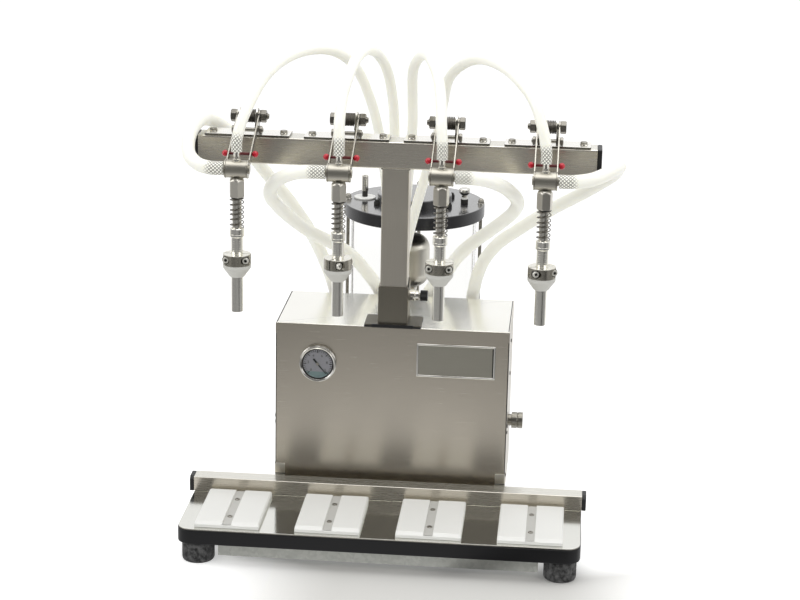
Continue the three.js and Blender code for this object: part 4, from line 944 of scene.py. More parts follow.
def make_column():
    """The socket on its gasket with the clamp, and the square column with the beam welded across its top."""
    edge = sizes().tube_edge
    low, high = corners("column_socket")
    deck = BOX_HIGH[2]
    clamp_z = 44.3
    parts = Parts().add("socket", square_tube(44.6, 2, 2.2, 0, high[2] - deck, 0.5))
    parts.add("socket", square_tube(43.8, 1.6, 2, low[2] - deck, 0.5))
    parts.add("wing", plate(84, 50, 2, 2, 4.2, 0.4))
    parts.add("black", plate(85, 51, 2, 0, 2.1, 0.3))
    parts.add("black", plate(62, 4, 1, 0, 4.6, 0.5), 0, -26)
    boss = lathe([[4.3, 21], [8.5, 21], [8.5, 31], [7.4, 31.6], [7.4, 37], [4.3, 37]], 0.6)
    parts.add("machined", along_x(boss), 0, 0, clamp_z)
    parts.add("bolt", facing_front(screw(3, 4, 1.4)), 26, -7.4, clamp_z - 2)
    strip = rounded([[-5.6, -6], [-3.6, -6], [5.6, 7], [3.6, 7]], 0.3, 2)
    parts.add("black", along_x(slab(strip, 0, 1.4, 0.3)), 21.4, -13, high[2] - deck + 5.6)
    make_piece("socket", "machine", parts, "column_socket", (0, BEAM_Y, deck))

    knob = lathe([[2, 39], [8, 39], [8, 49.9], [2, 49.9]], 0.9, 144, closed=False)
    turning = Parts().add("bolt", drum(4, 20.6, 39.5, 0.3, 32)).add("black", ridged(knob, 36, 0.2, 6.6))
    make_piece("clamp_grip", "clamp_knob", turning.each(along_x), "clamp_knob",
               (0, BEAM_Y, deck + clamp_z))

    under = BEAM_HIGH[2] - TUBE
    beam_z = under + TUBE / 2
    half = BEAM_HIGH[0] - 7
    parts = Parts().add("column", square_tube(TUBE, 2, edge, BEAM_LOW[2], under + 0.5))
    parts.add("beam", along_x(plate(TUBE, TUBE, edge, -half, half, 0.3, 5)), 0, 0, beam_z)
    parts.add("bolt", weld_bead(level(rectangle(41.2, 41.2, 3), under - 0.4), 0.9))
    for side in (-1, 1):
        start, end = sorted([side * half, side * BEAM_HIGH[0]])
        parts.add("black", along_x(plate(TUBE, TUBE, edge, start + 0.1, end, 1.6, 5)), 0, 0, beam_z)
    make_piece("column_and_beam", "column", parts, "column_frame", (0, BEAM_Y, 0))


def weld_bead(ring, radius):
    """A closed round bead along a level ring of points, rippled by 12% every few millimetres."""
    along = unit(np.roll(ring, -1, axis=0) - np.roll(ring, 1, axis=0))
    out = np.stack([along[:, 1], -along[:, 0], np.zeros(len(ring))], axis=1)
    up = np.array([0.0, 0.0, 1.0])
    angle = full_turn(10)[None, :, None]
    swell = radius * (1 + 0.12 * np.sin(np.arange(len(ring)) * 2.4))[:, None, None]
    return grid(ring[:, None] + swell * (np.cos(angle) * out[:, None] + np.sin(angle) * up), closed=True)


def ridged(surface, count, depth, beyond):
    """Draws in the surface by depth (1 - cos(count a)) / 2 where its radius about Z is over a limit."""
    points = surface[0].copy()
    radius = np.hypot(points[:, 0], points[:, 1])
    angle = np.arctan2(points[:, 1], points[:, 0])
    drop = depth * (1 - np.cos(count * angle)) * (radius > beyond)
    points[:, :2] *= ((radius - drop) / np.maximum(radius, 1e-6))[:, None]
    return points, surface[1]


# Heads: brackets, pivots, arms, blocks, springs, sleeves

PIVOT_DROP = 12
GRIP = 34.6
STOP_FORWARD = 14
ARM_REACH = 108
ARM_DROP = 55
ARM_INSIDE = 15
ARM_THICK = 2
BOSS_END = 18.8
STRAP = 3
EAR_OUTSIDE = 14.7
TILT = math.atan2(ARM_DROP, ARM_REACH)


def handed(parts, i):
    """The parts as they are for the two heads on the left, mirrored for the two on the right."""
    return parts if i <= 2 else parts.each(flipped_x)


def station_x(i):
    return centre(f"sleeve_{i}")[0]


def pivot_z(i):
    return corners(f"head_bracket_{i}")[1][2] - PIVOT_DROP


def stop_drop():
    """How far the stop bolt lies under the pivot."""
    return STOP_FORWARD * math.tan(TILT) + 9.3 / math.cos(TILT)


def ear_outline(rise, front_rise):
    """The side view of an ear, Y across and Z up from the beam's top, with a round head about the pivot."""
    crown = arc(PIVOT_DROP, 0, np.pi, 17, y=rise)
    return np.vstack([[[-18.8, 1.5], [16, 1.5]], crown, [[-18.8, front_rise]]])


def torsion_path():
    """A helix about X between the ears, with a leg on a tangent at each end: one hooks on the stop bolt."""
    mean, width, turns, steps_per_turn, tail_length = 9.1, 21, 9, 28, 12
    reach = math.hypot(STOP_FORWARD, stop_drop())
    long_leg = math.sqrt(reach ** 2 - mean ** 2)
    start = math.atan2(-stop_drop(), -STOP_FORWARD) + math.acos(mean / reach)
    turn = np.linspace(0, 2 * np.pi * turns, turns * steps_per_turn + 1)
    angle = start - turn
    coil = np.stack([width * (turn / turn[-1] - 0.5), mean * np.cos(angle), mean * np.sin(angle)], axis=1)
    t = np.linspace(1, 0, 8, endpoint=False)[:, None]
    tangent = np.array([0, -math.sin(start), math.cos(start)])
    tail = np.array([0, math.sin(angle[-1]), -math.cos(angle[-1])])
    return np.vstack([coil[0] + t * long_leg * tangent, coil, coil[-1] + t[::-1] * tail_length * tail])


def bolt_along_x(shank, across, head_length, nut_length, tail):
    """A hex bolt across the grip: head on -X, plain shank, washer and nut on +X."""
    half = GRIP / 2
    return [along_x(form) for form in (
        drum(shank / 2, -half - 1, half + nut_length + tail, 0.5, 28),
        nut(across, -half - head_length, -half, 1),
        nut(across, half + 0.8, half + nut_length, 1),
        drum(across * 0.56, half, half + 0.9, 0.2, 40),
        drum(across * 0.3, half + nut_length - 0.5, half + nut_length + 1.4, 0.6, 32),
    )]


def make_brackets():
    coil = wire(torsion_path(), sizes().torsion_wire / 2, 10, hint=(1, 0, 0))
    for i in HEADS:
        foot = corners(f"head_bracket_{i}")[0][2]
        rise = pivot_z(i) - foot
        stop = rise - stop_drop()
        ear = along_x(slab(rounded(ear_outline(rise, stop + 6), 0.8, 2), 0, STRAP, 0.5))
        parts = Parts().add("strap", plate(125, TUBE, 2.5, 0, STRAP, 0.5))
        parts.add("strap", ear, -EAR_OUTSIDE).add("strap", ear, EAR_OUTSIDE - STRAP)
        for x in (-52, 52):
            parts.add("bright", washer(STRAP - 0.1), x).add("bolt", nut(10, STRAP + 0.9, 7, 0.9), x)
        for surface in bolt_along_x(8, 16.5, 8.5, 9.5, 3.5):
            parts.add("pivot", surface, 0, 0, rise)
        for surface in bolt_along_x(6, 10.5, 5, 5, 1.2):
            parts.add("bolt", surface, 0, -STOP_FORWARD, stop)
        parts.add("bolt", along_x(drum(7.2, -11.9, 11.9, 0.4)), 0, 0, rise)
        parts.add("wire", coil, 0, 0, rise)
        make_piece(f"bracket_{i}", "column", handed(parts, i), f"head_bracket_{i}",
                   (station_x(i), BEAM_Y, foot))


def arm_outline():
    """A dog bone from the block's end at the origin to the pivot eye, in the arm's own plane."""
    end, eye, waist = 13.5, 9, 6
    open_end, open_eye = math.asin(waist / end), math.asin(waist / eye)
    big = arc(end, open_end, 2 * np.pi - open_end, 33)
    small = arc(eye, -np.pi + open_eye, np.pi - open_eye, 25, x=math.hypot(ARM_REACH, ARM_DROP))
    turn = np.array([[math.cos(TILT), math.sin(TILT)], [-math.sin(TILT), math.cos(TILT)]])
    return np.vstack([big, small]) @ turn


def barb(radius, ridge, low, high, ridges=3):
    """A hose barb along Z: saw teeth that rise slowly and drop sharply."""
    pitch = (high - low) / ridges
    profile = [[radius, low - 2]]
    for k in range(ridges):
        profile += [[radius + ridge, low + k * pitch], [radius, low + (k + 0.92) * pitch]]
    return turned([*profile, [radius * 0.8, high]], 36)


def make_heads():
    s = sizes()
    arm = along_x(slab(arm_outline(), 0, ARM_THICK, s.arm_edge))
    for i in HEADS:
        x, y, z = station_x(i), BEAM_Y - ARM_REACH, pivot_z(i) - ARM_DROP
        parts = Parts().add("arm", arm, -ARM_INSIDE - ARM_THICK).add("arm", arm, ARM_INSIDE)
        half = ARM_INSIDE
        body = lathe([[8, -half], [13, -half], [13, half], [8, half]], 0.8, 64, closed=False)
        parts.add("block", along_x(body))
        ring = along_x(drum(6.5, ARM_INSIDE + ARM_THICK - 0.1, BOSS_END))
        parts.add("block", flipped_x(ring)).add("block", ring)
        parts.add("machined", flipped_x(along_x(barb(5, 0.8, BOSS_END, BOSS_END + 0.4, 1))))
        parts.add("machined", lathe([[3, 10], [6, 10], [6, 14.5], [4.4, 15], [4.4, 18], [5.2, 18.4],
                                     [4.4, 24.6], [3, 25]], 0.3, 36, 2, closed=False))
        parts.add("nut", acorn_nut(10.8, -12.4, -40.6))
        parts.add("gap", drum(8.4, -42.6, -40.4, 0.4, 40))
        parts.add("machined", drum(6.7, corners(f"head_{i}")[0][2] - z, -40))
        make_piece(f"swing_head_{i}", f"head_{i}", handed(parts, i), f"head_{i}", (x, y, z))

        low, high = corners(f"pin_{i}")
        radius = (high[1] - low[1]) / 2
        start, end = low[0] - x + radius, high[0] - x - radius
        pin = Parts().add("pin_rod", along_x(drum(2.25, start, end, 0.3, 24)))
        pin.add("pin", ball(radius * 1.12), start).add("pin", ball(radius * 1.12), end)
        make_piece(f"ball_pin_{i}", f"head_{i}", pin, f"pin_{i}", (x, *centre(f"pin_{i}")[1:]))

        low, high = corners(f"spring_{i}")
        tall = high[2] - low[2]
        coil = wire(spring_path(tall, s.spring_wire), s.spring_wire / 2, 10, hint=(0, 0, 1))
        spring = make_piece(f"nozzle_spring_{i}", f"head_{i}", Parts().add("wire", coil), f"spring_{i}",
                            (x, y, low[2]))
        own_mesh(spring)


def spring_path(height, thickness):
    """Six open turns about Z between two that lie almost flat: the pitch eases in and out at the ends."""
    turns, steps_per_turn, mean = 6, 36, 9.7
    turn = np.linspace(0, 1, turns * steps_per_turn + 1)
    ease = turn - np.sin(4 * np.pi * turn) * 0.012
    z = thickness / 2 + (height - thickness) * ease
    return np.column_stack([arc(mean, 0, 2 * np.pi * turns, len(turn)), z])


COLLAR_TURNS = (0, 62, 0, 24)


def half_ring(outer, inner, slit, low, high, edge):
    """Half a split ring on +Y: an outline of two arcs that stop short of the slit."""
    a, b = math.asin(slit / outer), math.asin(slit / inner)
    return slab(np.vstack([arc(outer, a, np.pi - a, 41), arc(inner, np.pi - b, b, 25)]), low, high, edge)


def carve(surface, tools, name):
    """The surface less the tools, by an exact boolean on loose copies."""
    objects = [mesh_object(name, mesh_of(name, *form)) for form in (surface, *tools)]
    for tool in objects[1:]:
        cut = objects[0].modifiers.new(tool.name, "BOOLEAN")
        cut.operation = "DIFFERENCE"
        cut.solver = "EXACT"
        cut.object = tool
    bpy.context.view_layer.update()
    carved = objects[0].evaluated_get(bpy.context.evaluated_depsgraph_get())
    result = surface_of(bpy.data.meshes.new_from_object(carved))
    for made in objects:
        bpy.data.meshes.remove(made.data)
    return result


def make_sleeves():
    """Each sleeve: a ringed tube with its seat, a two-part collar with sunk cap screws, and the cone."""
    inner, outer, seat = 7.0, 8.5, 10.5
    collar_low, collar_high = 71, 86.5
    apart, middle = 14.3, (collar_low + collar_high) / 2
    for i in HEADS:
        low, high = corners(f"sleeve_{i}")
        x, y, height = station_x(i), centre(f"sleeve_{i}")[1], high[2] - low[2]
        rings = []
        for z in np.arange(collar_high + 2, height - 16, 3.4):
            rings += [[outer, z], [8.38, z + 0.3], [8.38, z + 0.7], [outer, z + 1.0]]
        parts = Parts().add("tube", turned([
            [inner, 0], [8.2, 0], [outer, 0.6], *rings, [outer, height - 13.6], [9.4, height - 12.4],
            [seat, height - 12.2], [seat, height - 9.2], [10.2, height - 8.9], [seat, height - 8.6],
            [seat, height - 1], [9.8, height], [inner, height],
        ], 56, closed=True))
        cone_low, cone_high = corners(f"bottle_cone_{i}")
        rim = (cone_high[0] - cone_low[0]) / 2
        pocket = along_y(drum(6.0, -26, -9.4, 0.05, 32))
        pockets = [moved(pocket, side * apart, 0, middle) for side in (-1, 1)]
        half = half_ring(rim, outer, 0.8, collar_low, collar_high, 0.5)
        collar = Parts().add("collar", half)
        collar.add("collar", carve(turned_about_z(half, math.pi), pockets, f"collar_{i}"))
        # Round each cap screw's head a dark ring is painted shade in its pocket, and a dark plug in its
        # socket is painted shade in the hex recess
        for side in (-1, 1):
            for finish, form in (("gap", drum(5.8, 0, 0.6, 0.1, 32)), ("head", screw(4.7, 4.4, 2.2)),
                                 ("gap", drum(2.15, 0, 2.4, 0.1, 20))):
                collar.add(finish, facing_front(form), side * apart, -9.6, middle)
        parts += collar.each(turned_about_z, math.radians(COLLAR_TURNS[i - 1]))
        make_piece(f"nozzle_sleeve_{i}", f"sleeve_{i}", parts, f"sleeve_{i}", (x, y, low[2]))

        drop = cone_high[2] - cone_low[2]
        cone = lathe([[8.9, -drop], [seat, -drop], [rim, -5], [rim, 0], [8.9, 0]], 0.8, 64)
        make_piece(f"centring_cone_{i}", f"sleeve_{i}", Parts().add("cone", cone), f"bottle_cone_{i}",
                   (x, y, cone_high[2]))


# Vessel: base disc and rods, clear cylinder, lid, float

RIM = 115.5
LID = 21
DISC = 20


def seal(low, high):
    """The black ring between an end of the cylinder and its disc."""
    return pipe(106, 98, low, high, 0.3, 96)


def make_vessel():
    edge = sizes().vessel_edge
    y = centre("vessel_glass")[1]
    low = corners("vessel_base")[0][2]
    lid_low = GLASS_HIGH[2] + 0.3
    top = lid_low + LID - low
    parts = Parts().add("lid", drum(RIM, 0, DISC, edge, 128)).add("black", seal(DISC - 0.2, DISC + 1.2))
    dome = turned(arc(4.4, 0, 1.45, 8) * [1, 4.1 / 4.4] + [0, top + 5.2], 32)
    for angle in (0, math.pi / 2, math.pi):
        place = on_circle(109.5, angle)
        parts.add("bolt", drum(3, DISC - 2, top + 4, 0.5, 28), *place)
        parts.add("bright", washer(top + 0.1), *place)
        parts.add("bolt", nut(9.6, top + 1.1, top + 5.6, 0.9), *place).add("bolt", dome, *place)
    make_piece("vessel_foot_and_rods", "machine", parts, "vessel_base", (0, y, low))

    cylinder = pipe(103.5, 98.5, GLASS_LOW[2], GLASS_HIGH[2], 0.8, 128)
    parts = Parts().add("glass", cylinder)
    make_piece("clear_cylinder", "machine", parts, "vessel_glass", (0, y, 0))

    boss = lathe([[40, 20], [61, 20], [61, 33.5], [59.5, 35], [40, 35]], 1, 96, closed=False)
    parts = Parts().add("lid", drum(RIM, 0, LID, edge, 128)).add("lid", boss)
    parts.add("black", seal(-1.4, 0.2))
    for k in range(6):
        place = (*on_circle(68, (k + 0.5) * math.pi / 3), LID)
        parts.add("gap", drum(3.5, -1, 8, 0.5, 28), *place).add("gap", nut(9.5, 0, 5, 0.8), *place)
    ridges = [[4.3 + 0.5 * (k % 2), 2.6 + k] for k in range(10)]
    place = (-83, 9, LID)
    parts.add("gap", lathe([[2.6, 0], *ridges, [2.6, 12]], 0.2, 40, 2), *place)
    parts.add("machined", lathe([[2.6, 12], [5.5, 12], [5.5, 37.4], [4.9, 38], [2.6, 38]], 0.4, 40), *place)
    parts.add("pad", pipe(18, 4.4, 0, 2.4, 0.6, 56), *place)
    parts.add("bolt", drum(3, 20, 30, 0.4, 28), 82)
    foot = corners("vessel_lid")[0][2] - lid_low
    parts.add("bright", drum(3, foot, 1, 0.4, 28)).add("bright", drum(7, foot, foot + 5))
    make_piece("lid_with_fittings", "machine", parts, "vessel_lid", (0, y, lid_low))

    low, high = corners("regulator_knob")
    top = high[2] - low[2]
    parts = Parts()
    for finish, form in (
        ("gap", [[3.4, 0], [6, 0], [6, 6.4], [5.2, 6.6], [3.4, 6.6]]),
        ("pad", [[3.4, 6.6], [6, 6.6], [6, 9], [4.6, 9.6], [3.4, 9.6]]),
        ("machined", [[3.4, 9.6], [4.4, 9.6], [4.4, 13], [3.4, 13]]),
        ("gap", [[3.4, 13], [4.6, 13], [8.8, 17.4], [8.8, 18], [3.4, 18]]),
    ):
        parts.add(finish, lathe(form, 0.3, 48, 2))
    parts.add("bright", lathe([[2, 17.8], [8.8, 17.8], [9.5, 18.6], [9.5, top - 1.6], [7.8, top - 0.2],
                               [2, top]], 0.6, closed=False))
    make_piece("mushroom_knob", "regulator_knob", parts, "regulator_knob",
               (centre("regulator_knob")[0], y, low[2]))

    low, high = corners("float")
    t = np.linspace(0.15, np.pi / 2, 12)
    radius, dome = 27 * np.sin(t), 26 * (1 - np.cos(t))
    under = np.stack([radius, dome], axis=1)
    over = np.stack([radius, high[2] - low[2] - dome], axis=1)[::-1]
    shell = turned([[3.4, under[0, 1]], *under, *over, [3.4, over[-1, 1]]], 96, closed=True)
    make_piece("steel_float", "float", Parts().add("float", shell), "float", (0, y, low[2]))


# Manifold behind the housing


def make_manifold():
    low, high = corners("hose_manifold")
    y, wall, radius = 52, 20.3, 15
    rest = wall - y
    parts = Parts().add("column", along_x(drum(radius, low[0], high[0], 1.5, 64)))
    for x in (-108, -36, 36, 108):
        parts.add("machined", barb(6.0, 0.6, 16, 26), x).add("bolt", nut(17, 13, 17, 1), x)
    for x in (-80, 80):
        parts.add("machined", along_y(drum(6, rest, -13, 0.4, 36)), x)
        parts.add("bolt", along_y(drum(9, rest, rest + 3, 0.5, 40)), x)
    parts.add("machined", plate(44, 40, 2, -10, 10, 1), -18, 33)
    for x in (-28, -8):
        for back in (23.5, 42.5):
            parts.add("machined", barb(4, 0.5, 11, 26), x, back)
    make_piece("manifold", "machine", parts, "hose_manifold", (0, y, low[2] + radius))


# Hoses: the routes of part.mjs, in metres


VACUUM_ROUTES = [
    [(-0.219, -0.234, 0.5909), (-0.219, -0.234, 0.604), (-0.214, -0.226, 0.63), (-0.202, -0.202, 0.662),
     (-0.188, -0.168, 0.688), (-0.166, -0.124, 0.706), (-0.138, -0.084, 0.713), (-0.106, -0.042, 0.706),
     (-0.078, 0.004, 0.676), (-0.058, 0.046, 0.618), (-0.046, 0.072, 0.56), (-0.038, 0.084, 0.5),
     (-0.031, 0.092, 0.425), (-0.028, 0.0945, 0.34), (-0.028, 0.0945, 0.2823)],
    [(-0.073, -0.234, 0.5909), (-0.073, -0.234, 0.604), (-0.074, -0.226, 0.636), (-0.073, -0.202, 0.666),
     (-0.069, -0.168, 0.690), (-0.063, -0.128, 0.708), (-0.053, -0.086, 0.716), (-0.041, -0.042, 0.705),
     (-0.030, 0.000, 0.676), (-0.024, 0.036, 0.632), (-0.021, 0.056, 0.580), (-0.022, 0.066, 0.490),
     (-0.027, 0.074, 0.390), (-0.028, 0.0755, 0.330), (-0.028, 0.0755, 0.2823)],
    [(0.073, -0.234, 0.5909), (0.073, -0.234, 0.604), (0.070, -0.226, 0.640), (0.067, -0.204, 0.668),
     (0.061, -0.174, 0.692), (0.051, -0.138, 0.707), (0.039, -0.098, 0.714), (0.024, -0.054, 0.703),
     (0.012, -0.016, 0.676), (0.009, 0.020, 0.632), (0.008, 0.046, 0.580), (0.001, 0.072, 0.490),
     (-0.007, 0.090, 0.390), (-0.008, 0.0945, 0.330), (-0.008, 0.0945, 0.2823)],
    [(0.219, -0.234, 0.5909), (0.219, -0.234, 0.606), (0.212, -0.229, 0.640), (0.198, -0.212, 0.674),
     (0.176, -0.186, 0.697), (0.150, -0.148, 0.710), (0.118, -0.098, 0.711), (0.090, -0.050, 0.695),
     (0.066, -0.010, 0.665), (0.056, 0.016, 0.620), (0.048, 0.032, 0.570), (0.031, 0.046, 0.505),
     (0.006, 0.063, 0.408), (-0.007, 0.074, 0.336), (-0.008, 0.0755, 0.310), (-0.008, 0.0755, 0.2823)],
]
PRODUCT_ROUTES = [
    [(-0.2382, -0.234, 0.5656), (-0.256, -0.234, 0.5656), (-0.275, -0.23, 0.569), (-0.29, -0.216, 0.578),
     (-0.297, -0.19, 0.591), (-0.297, -0.161, 0.603), (-0.294, -0.131, 0.609), (-0.286, -0.097, 0.607),
     (-0.267, -0.068, 0.591), (-0.24, -0.048, 0.56), (-0.208, -0.03, 0.514), (-0.176, -0.014, 0.47),
     (-0.144, 0.005, 0.415), (-0.124, 0.023, 0.366), (-0.11, 0.042, 0.316), (-0.108, 0.052, 0.298),
     (-0.108, 0.052, 0.2823)],
    [(-0.0922, -0.234, 0.5656), (-0.112, -0.234, 0.5656), (-0.136, -0.23, 0.562), (-0.158, -0.218, 0.551),
     (-0.174, -0.196, 0.534), (-0.181, -0.168, 0.513), (-0.177, -0.136, 0.492), (-0.162, -0.1, 0.464),
     (-0.136, -0.066, 0.434), (-0.108, -0.034, 0.41), (-0.08, -0.006, 0.384), (-0.058, 0.022, 0.35),
     (-0.04, 0.044, 0.316), (-0.036, 0.052, 0.298), (-0.036, 0.052, 0.2823)],
    [(0.0922, -0.234, 0.5656), (0.112, -0.234, 0.5656), (0.137, -0.23, 0.562), (0.159, -0.217, 0.551),
     (0.173, -0.194, 0.535), (0.179, -0.166, 0.518), (0.176, -0.136, 0.499), (0.163, -0.104, 0.477),
     (0.14, -0.07, 0.45), (0.113, -0.038, 0.421), (0.089, -0.008, 0.391), (0.066, 0.022, 0.352),
     (0.041, 0.044, 0.316), (0.036, 0.052, 0.298), (0.036, 0.052, 0.2823)],
    [(0.2382, -0.234, 0.5656), (0.256, -0.234, 0.5656), (0.284, -0.229, 0.569), (0.308, -0.211, 0.576),
     (0.321, -0.182, 0.578), (0.321, -0.148, 0.567), (0.315, -0.114, 0.55), (0.28, -0.076, 0.517),
     (0.23, -0.046, 0.48), (0.182, -0.016, 0.44), (0.146, 0.008, 0.406), (0.122, 0.03, 0.366),
     (0.11, 0.043, 0.318), (0.108, 0.052, 0.298), (0.108, 0.052, 0.2823)],
]
SPLIT = 7
PER_SPAN = 14


def smooth_route(points):
    """A centripetal Catmull-Rom curve: knots lie the square root of a chord apart, ends run on straight."""
    points = np.asarray(points, float)
    points = np.vstack([2 * points[0] - points[1], points, 2 * points[-1] - points[-2]])
    p0, p1, p2, p3 = (points[k:len(points) - 3 + k, None, :] for k in range(4))

    def gap(a, b):
        return np.sqrt(np.linalg.norm(b - a, axis=2, keepdims=True))

    t0 = 0.0
    t1 = gap(p0, p1)
    t2 = t1 + gap(p1, p2)
    t3 = t2 + gap(p2, p3)
    t = t1 + (t2 - t1) * np.linspace(0, 1, PER_SPAN, endpoint=False)[None, :, None]
    a1 = (t1 - t) / (t1 - t0) * p0 + (t - t0) / (t1 - t0) * p1
    a2 = (t2 - t) / (t2 - t1) * p1 + (t - t1) / (t2 - t1) * p2
    a3 = (t3 - t) / (t3 - t2) * p2 + (t - t2) / (t3 - t2) * p3
    b1 = (t2 - t) / (t2 - t0) * a1 + (t - t0) / (t2 - t0) * a2
    b2 = (t3 - t) / (t3 - t1) * a2 + (t - t1) / (t3 - t1) * a3
    curve = (t2 - t) / (t2 - t1) * b1 + (t - t1) / (t2 - t1) * b2
    return np.vstack([curve.reshape(-1, 3), points[-2:-1]])


def hose(name, path, radius, distance, sides=28):
    """A tube mesh along the path, with metres round it in U and metres from its fitting in V."""
    points, faces = wire(path, radius, sides)
    mesh = bpy.data.meshes.new(name)
    mesh.from_pydata(points.tolist(), [], faces)
    vertex = np.empty(len(mesh.loops), dtype=np.int32)
    mesh.loops.foreach_get("vertex_index", vertex)
    start = np.empty(len(mesh.polygons), dtype=np.int32)
    mesh.polygons.foreach_get("loop_start", start)
    column = vertex % sides
    first = np.repeat(column[start], np.diff(np.append(start, len(vertex))))
    wrapped = np.where((column == 0) & (first == sides - 1), sides, column)
    uv = np.stack([wrapped / sides * 2 * np.pi * radius, distance[vertex // sides]], axis=1)
    mesh.uv_layers.new(name="along").data.foreach_set("uv", uv.astype(np.float32).ravel())
    mesh.materials.append(FINISH["hose"])
    mesh.shade_smooth()
    mesh.set_sharp_from_angle(angle=math.radians(50))
    return mesh_object(name, mesh)


def make_hoses():
    """Each hose is two lengths that meet over the beam."""
    cut = SPLIT * PER_SPAN
    for kind, routes, radius in (("vacuum", VACUUM_ROUTES, 8 * MM), ("product", PRODUCT_ROUTES, 10 * MM)):
        for i, route in zip(HEADS, routes):
            path = smooth_route(route)
            step = np.linalg.norm(np.diff(path, axis=0), axis=1)
            travelled = np.concatenate([[0], np.cumsum(step)])
            distance = np.minimum(travelled, travelled[-1] - travelled)
            for letter, span, near, far in (
                ("a", slice(0, cut + 1), f"head_{i}", "column"), ("b", slice(cut, None), "column", "machine"),
            ):
                piece = hose(f"{kind}_line_{i}_{letter}", path[span], radius, distance[span])
                start, end = path[span][0], path[span][-1]
                tuple(start)
                tuple(end)
                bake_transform(piece)
                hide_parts(f"{kind}_hose_{i}")
                tuple(start)


# Stage: floor, backdrop, light and the photograph's camera


def flat_sheet(name, points, material):
    """A flat sheet of the stage through four points."""
    mesh = bpy.data.meshes.new(name)
    mesh.from_pydata(points, [], [(0, 1, 2, 3)])
    mesh.materials.append(material)
    sheet = mesh_object(name, mesh)
    return sheet


def make_floor():
    """A pale floor that takes the machine's shadow, with a painted shadow added in a patch in front of the
    machine, where its colour is darker and its glow lower. Elsewhere it is a little brighter far away so that
    it runs out to white.

    Metal mirrors it darker in front of the machine, as in a studio where the room behind the camera is
    dark: the dark patch fades out to the sides, so that round bars keep bright edges, and a dark wedge at
    42 degrees to the right gives them their dark streak.
    """
    white = rgba(colours().floor)
    made = Finish("studio_floor", Roughness=0.9, Base_Color=white, Emission_Color=(1, 1, 1, 1))
    rays = made.add("ShaderNodeLightPath", {}).outputs
    seen = made.maths("MAXIMUM", rays["Is Camera Ray"], rays["Is Transmission Ray"])
    place = made.split(made.coords["Object"])
    # outside_painted_shadow is 0 in a patch in front of and beside the machine; there the floor's colour is
    # #DDDCD8 and its glow 0.03, a painted shadow
    outside_painted_shadow = made.smooth_step(place["X"], 0.25, 0.5)
    for axis, start, end in (("X", -0.04, -0.32), ("Y", -0.34, -0.24), ("Y", -0.5, -0.8)):
        outside_painted_shadow = made.maths("MAXIMUM", outside_painted_shadow, made.smooth_step(place[axis], start, end))
    glow = made.maths("MULTIPLY", seen, made.remap(outside_painted_shadow, 0.03, 0.55))
    made.finish(Emission_Strength=glow, Base_Color=made.mix(outside_painted_shadow, rgba("#DDDCD8"), white))

    before_box = {0: made.coords["Object"], 1: (0.0, -0.15, 0.0)}
    away = made.add("ShaderNodeVectorMath", before_box, operation="DISTANCE").outputs["Value"]
    outward = made.smooth_step(away, 0.2, 1.1)
    bearing = made.maths("ARCTAN2", place["X"], made.maths("SUBTRACT", -0.2, place["Y"]))
    ahead = made.smooth_step(made.maths("ABSOLUTE", bearing), math.radians(120), math.radians(85))
    mirrored = made.remap(made.maths("MULTIPLY", outward, ahead), 1.0, 0.27)
    middle = made.smooth_step(made.maths("ABSOLUTE", place["X"]), 0.6, 0.1)
    pool = made.maths("MULTIPLY", made.smooth_step(away, 1.5, 2.2), middle)
    mirrored = made.maths("MULTIPLY_ADD", pool, 0.2, mirrored)
    streak = math.radians(42)
    off = made.maths("ABSOLUTE", made.maths("SUBTRACT", bearing, streak))
    wedge = made.remap(off, 0.12, 1.0, math.radians(4), math.radians(11), "SMOOTHSTEP")
    card = made.add("ShaderNodeEmission", {"Strength": made.maths("MULTIPLY", mirrored, wedge)})
    chosen = made.add("ShaderNodeMixShader", {
        0: rays["Is Glossy Ray"], 1: made.shader.outputs[0], 2: card.outputs[0],
    })
    made.tree.links.new(chosen.outputs[0], made.tree.nodes["Material Output"].inputs["Surface"])
    flat_sheet("studio_floor", [(-6, -6, 0), (6, -6, 0), (6, 6, 0), (-6, 6, 0)], made.material)


def make_dark_room():
    """A dark sheet behind the camera that only polished surfaces see."""
    dark = Finish("dark_room", Base_Color=(0, 0, 0, 1), Roughness=1.0, Emission_Color=(1, 1, 1, 1),
                  Emission_Strength=0.16)
    room = flat_sheet("dark_room", [(-3, -4, 0), (3, -4, 0), (3, -4, 6.5), (-3, -4, 6.5)], dark.material)
    room.visible_camera = False
    room.visible_diffuse = False
    room.visible_transmission = False
    room.visible_shadow = False


def make_world():
    """A white world, brighter to the camera, to mirrors and through glass than as light."""
    world = bpy.data.worlds.new("studio")
    bpy.context.scene.world = world
    world.use_nodes = True
    made = Nodes(world.node_tree)
    background = made.tree.nodes["Background"].inputs
    rays = made.add("ShaderNodeLightPath", {}).outputs
    seen = made.maths("MAXIMUM", rays["Is Camera Ray"], rays["Is Glossy Ray"])
    seen = made.maths("MAXIMUM", seen, rays["Is Transmission Ray"])
    background["Color"].default_value = (1, 1, 1, 1)
    made.tree.links.new(made.remap(seen, 0.55, 1.0), background["Strength"])


def make_stage():
    """The photograph's camera, a white world, a pale floor, a dark room behind the camera and soft lamps."""
    make_camera()
    scene = bpy.context.scene
    scene.view_settings.view_transform = "Standard"
    make_world()
    make_floor()
    make_dark_room()
    for name, place, size, power in (
        ("overhead_softbox", (0.2, -0.3, 2.4), 2.2, 26),
        ("left_softbox", (-2.2, -1.2, 1.5), 1.4, 12),
        ("right_softbox", (2.2, -1.4, 1.3), 1.2, 7),
    ):
        lamp = bpy.data.lights.new(name, "AREA")
        lamp.shape = "SQUARE"
        lamp.size = size
        lamp.energy = power
        holder = bpy.data.objects.new(name, lamp)
        holder.location = place
        holder.rotation_euler = (Vector((0, 0, 0.35)) - Vector(place)).to_track_quat("-Z", "Y").to_euler()
        scene.collection.objects.link(holder)


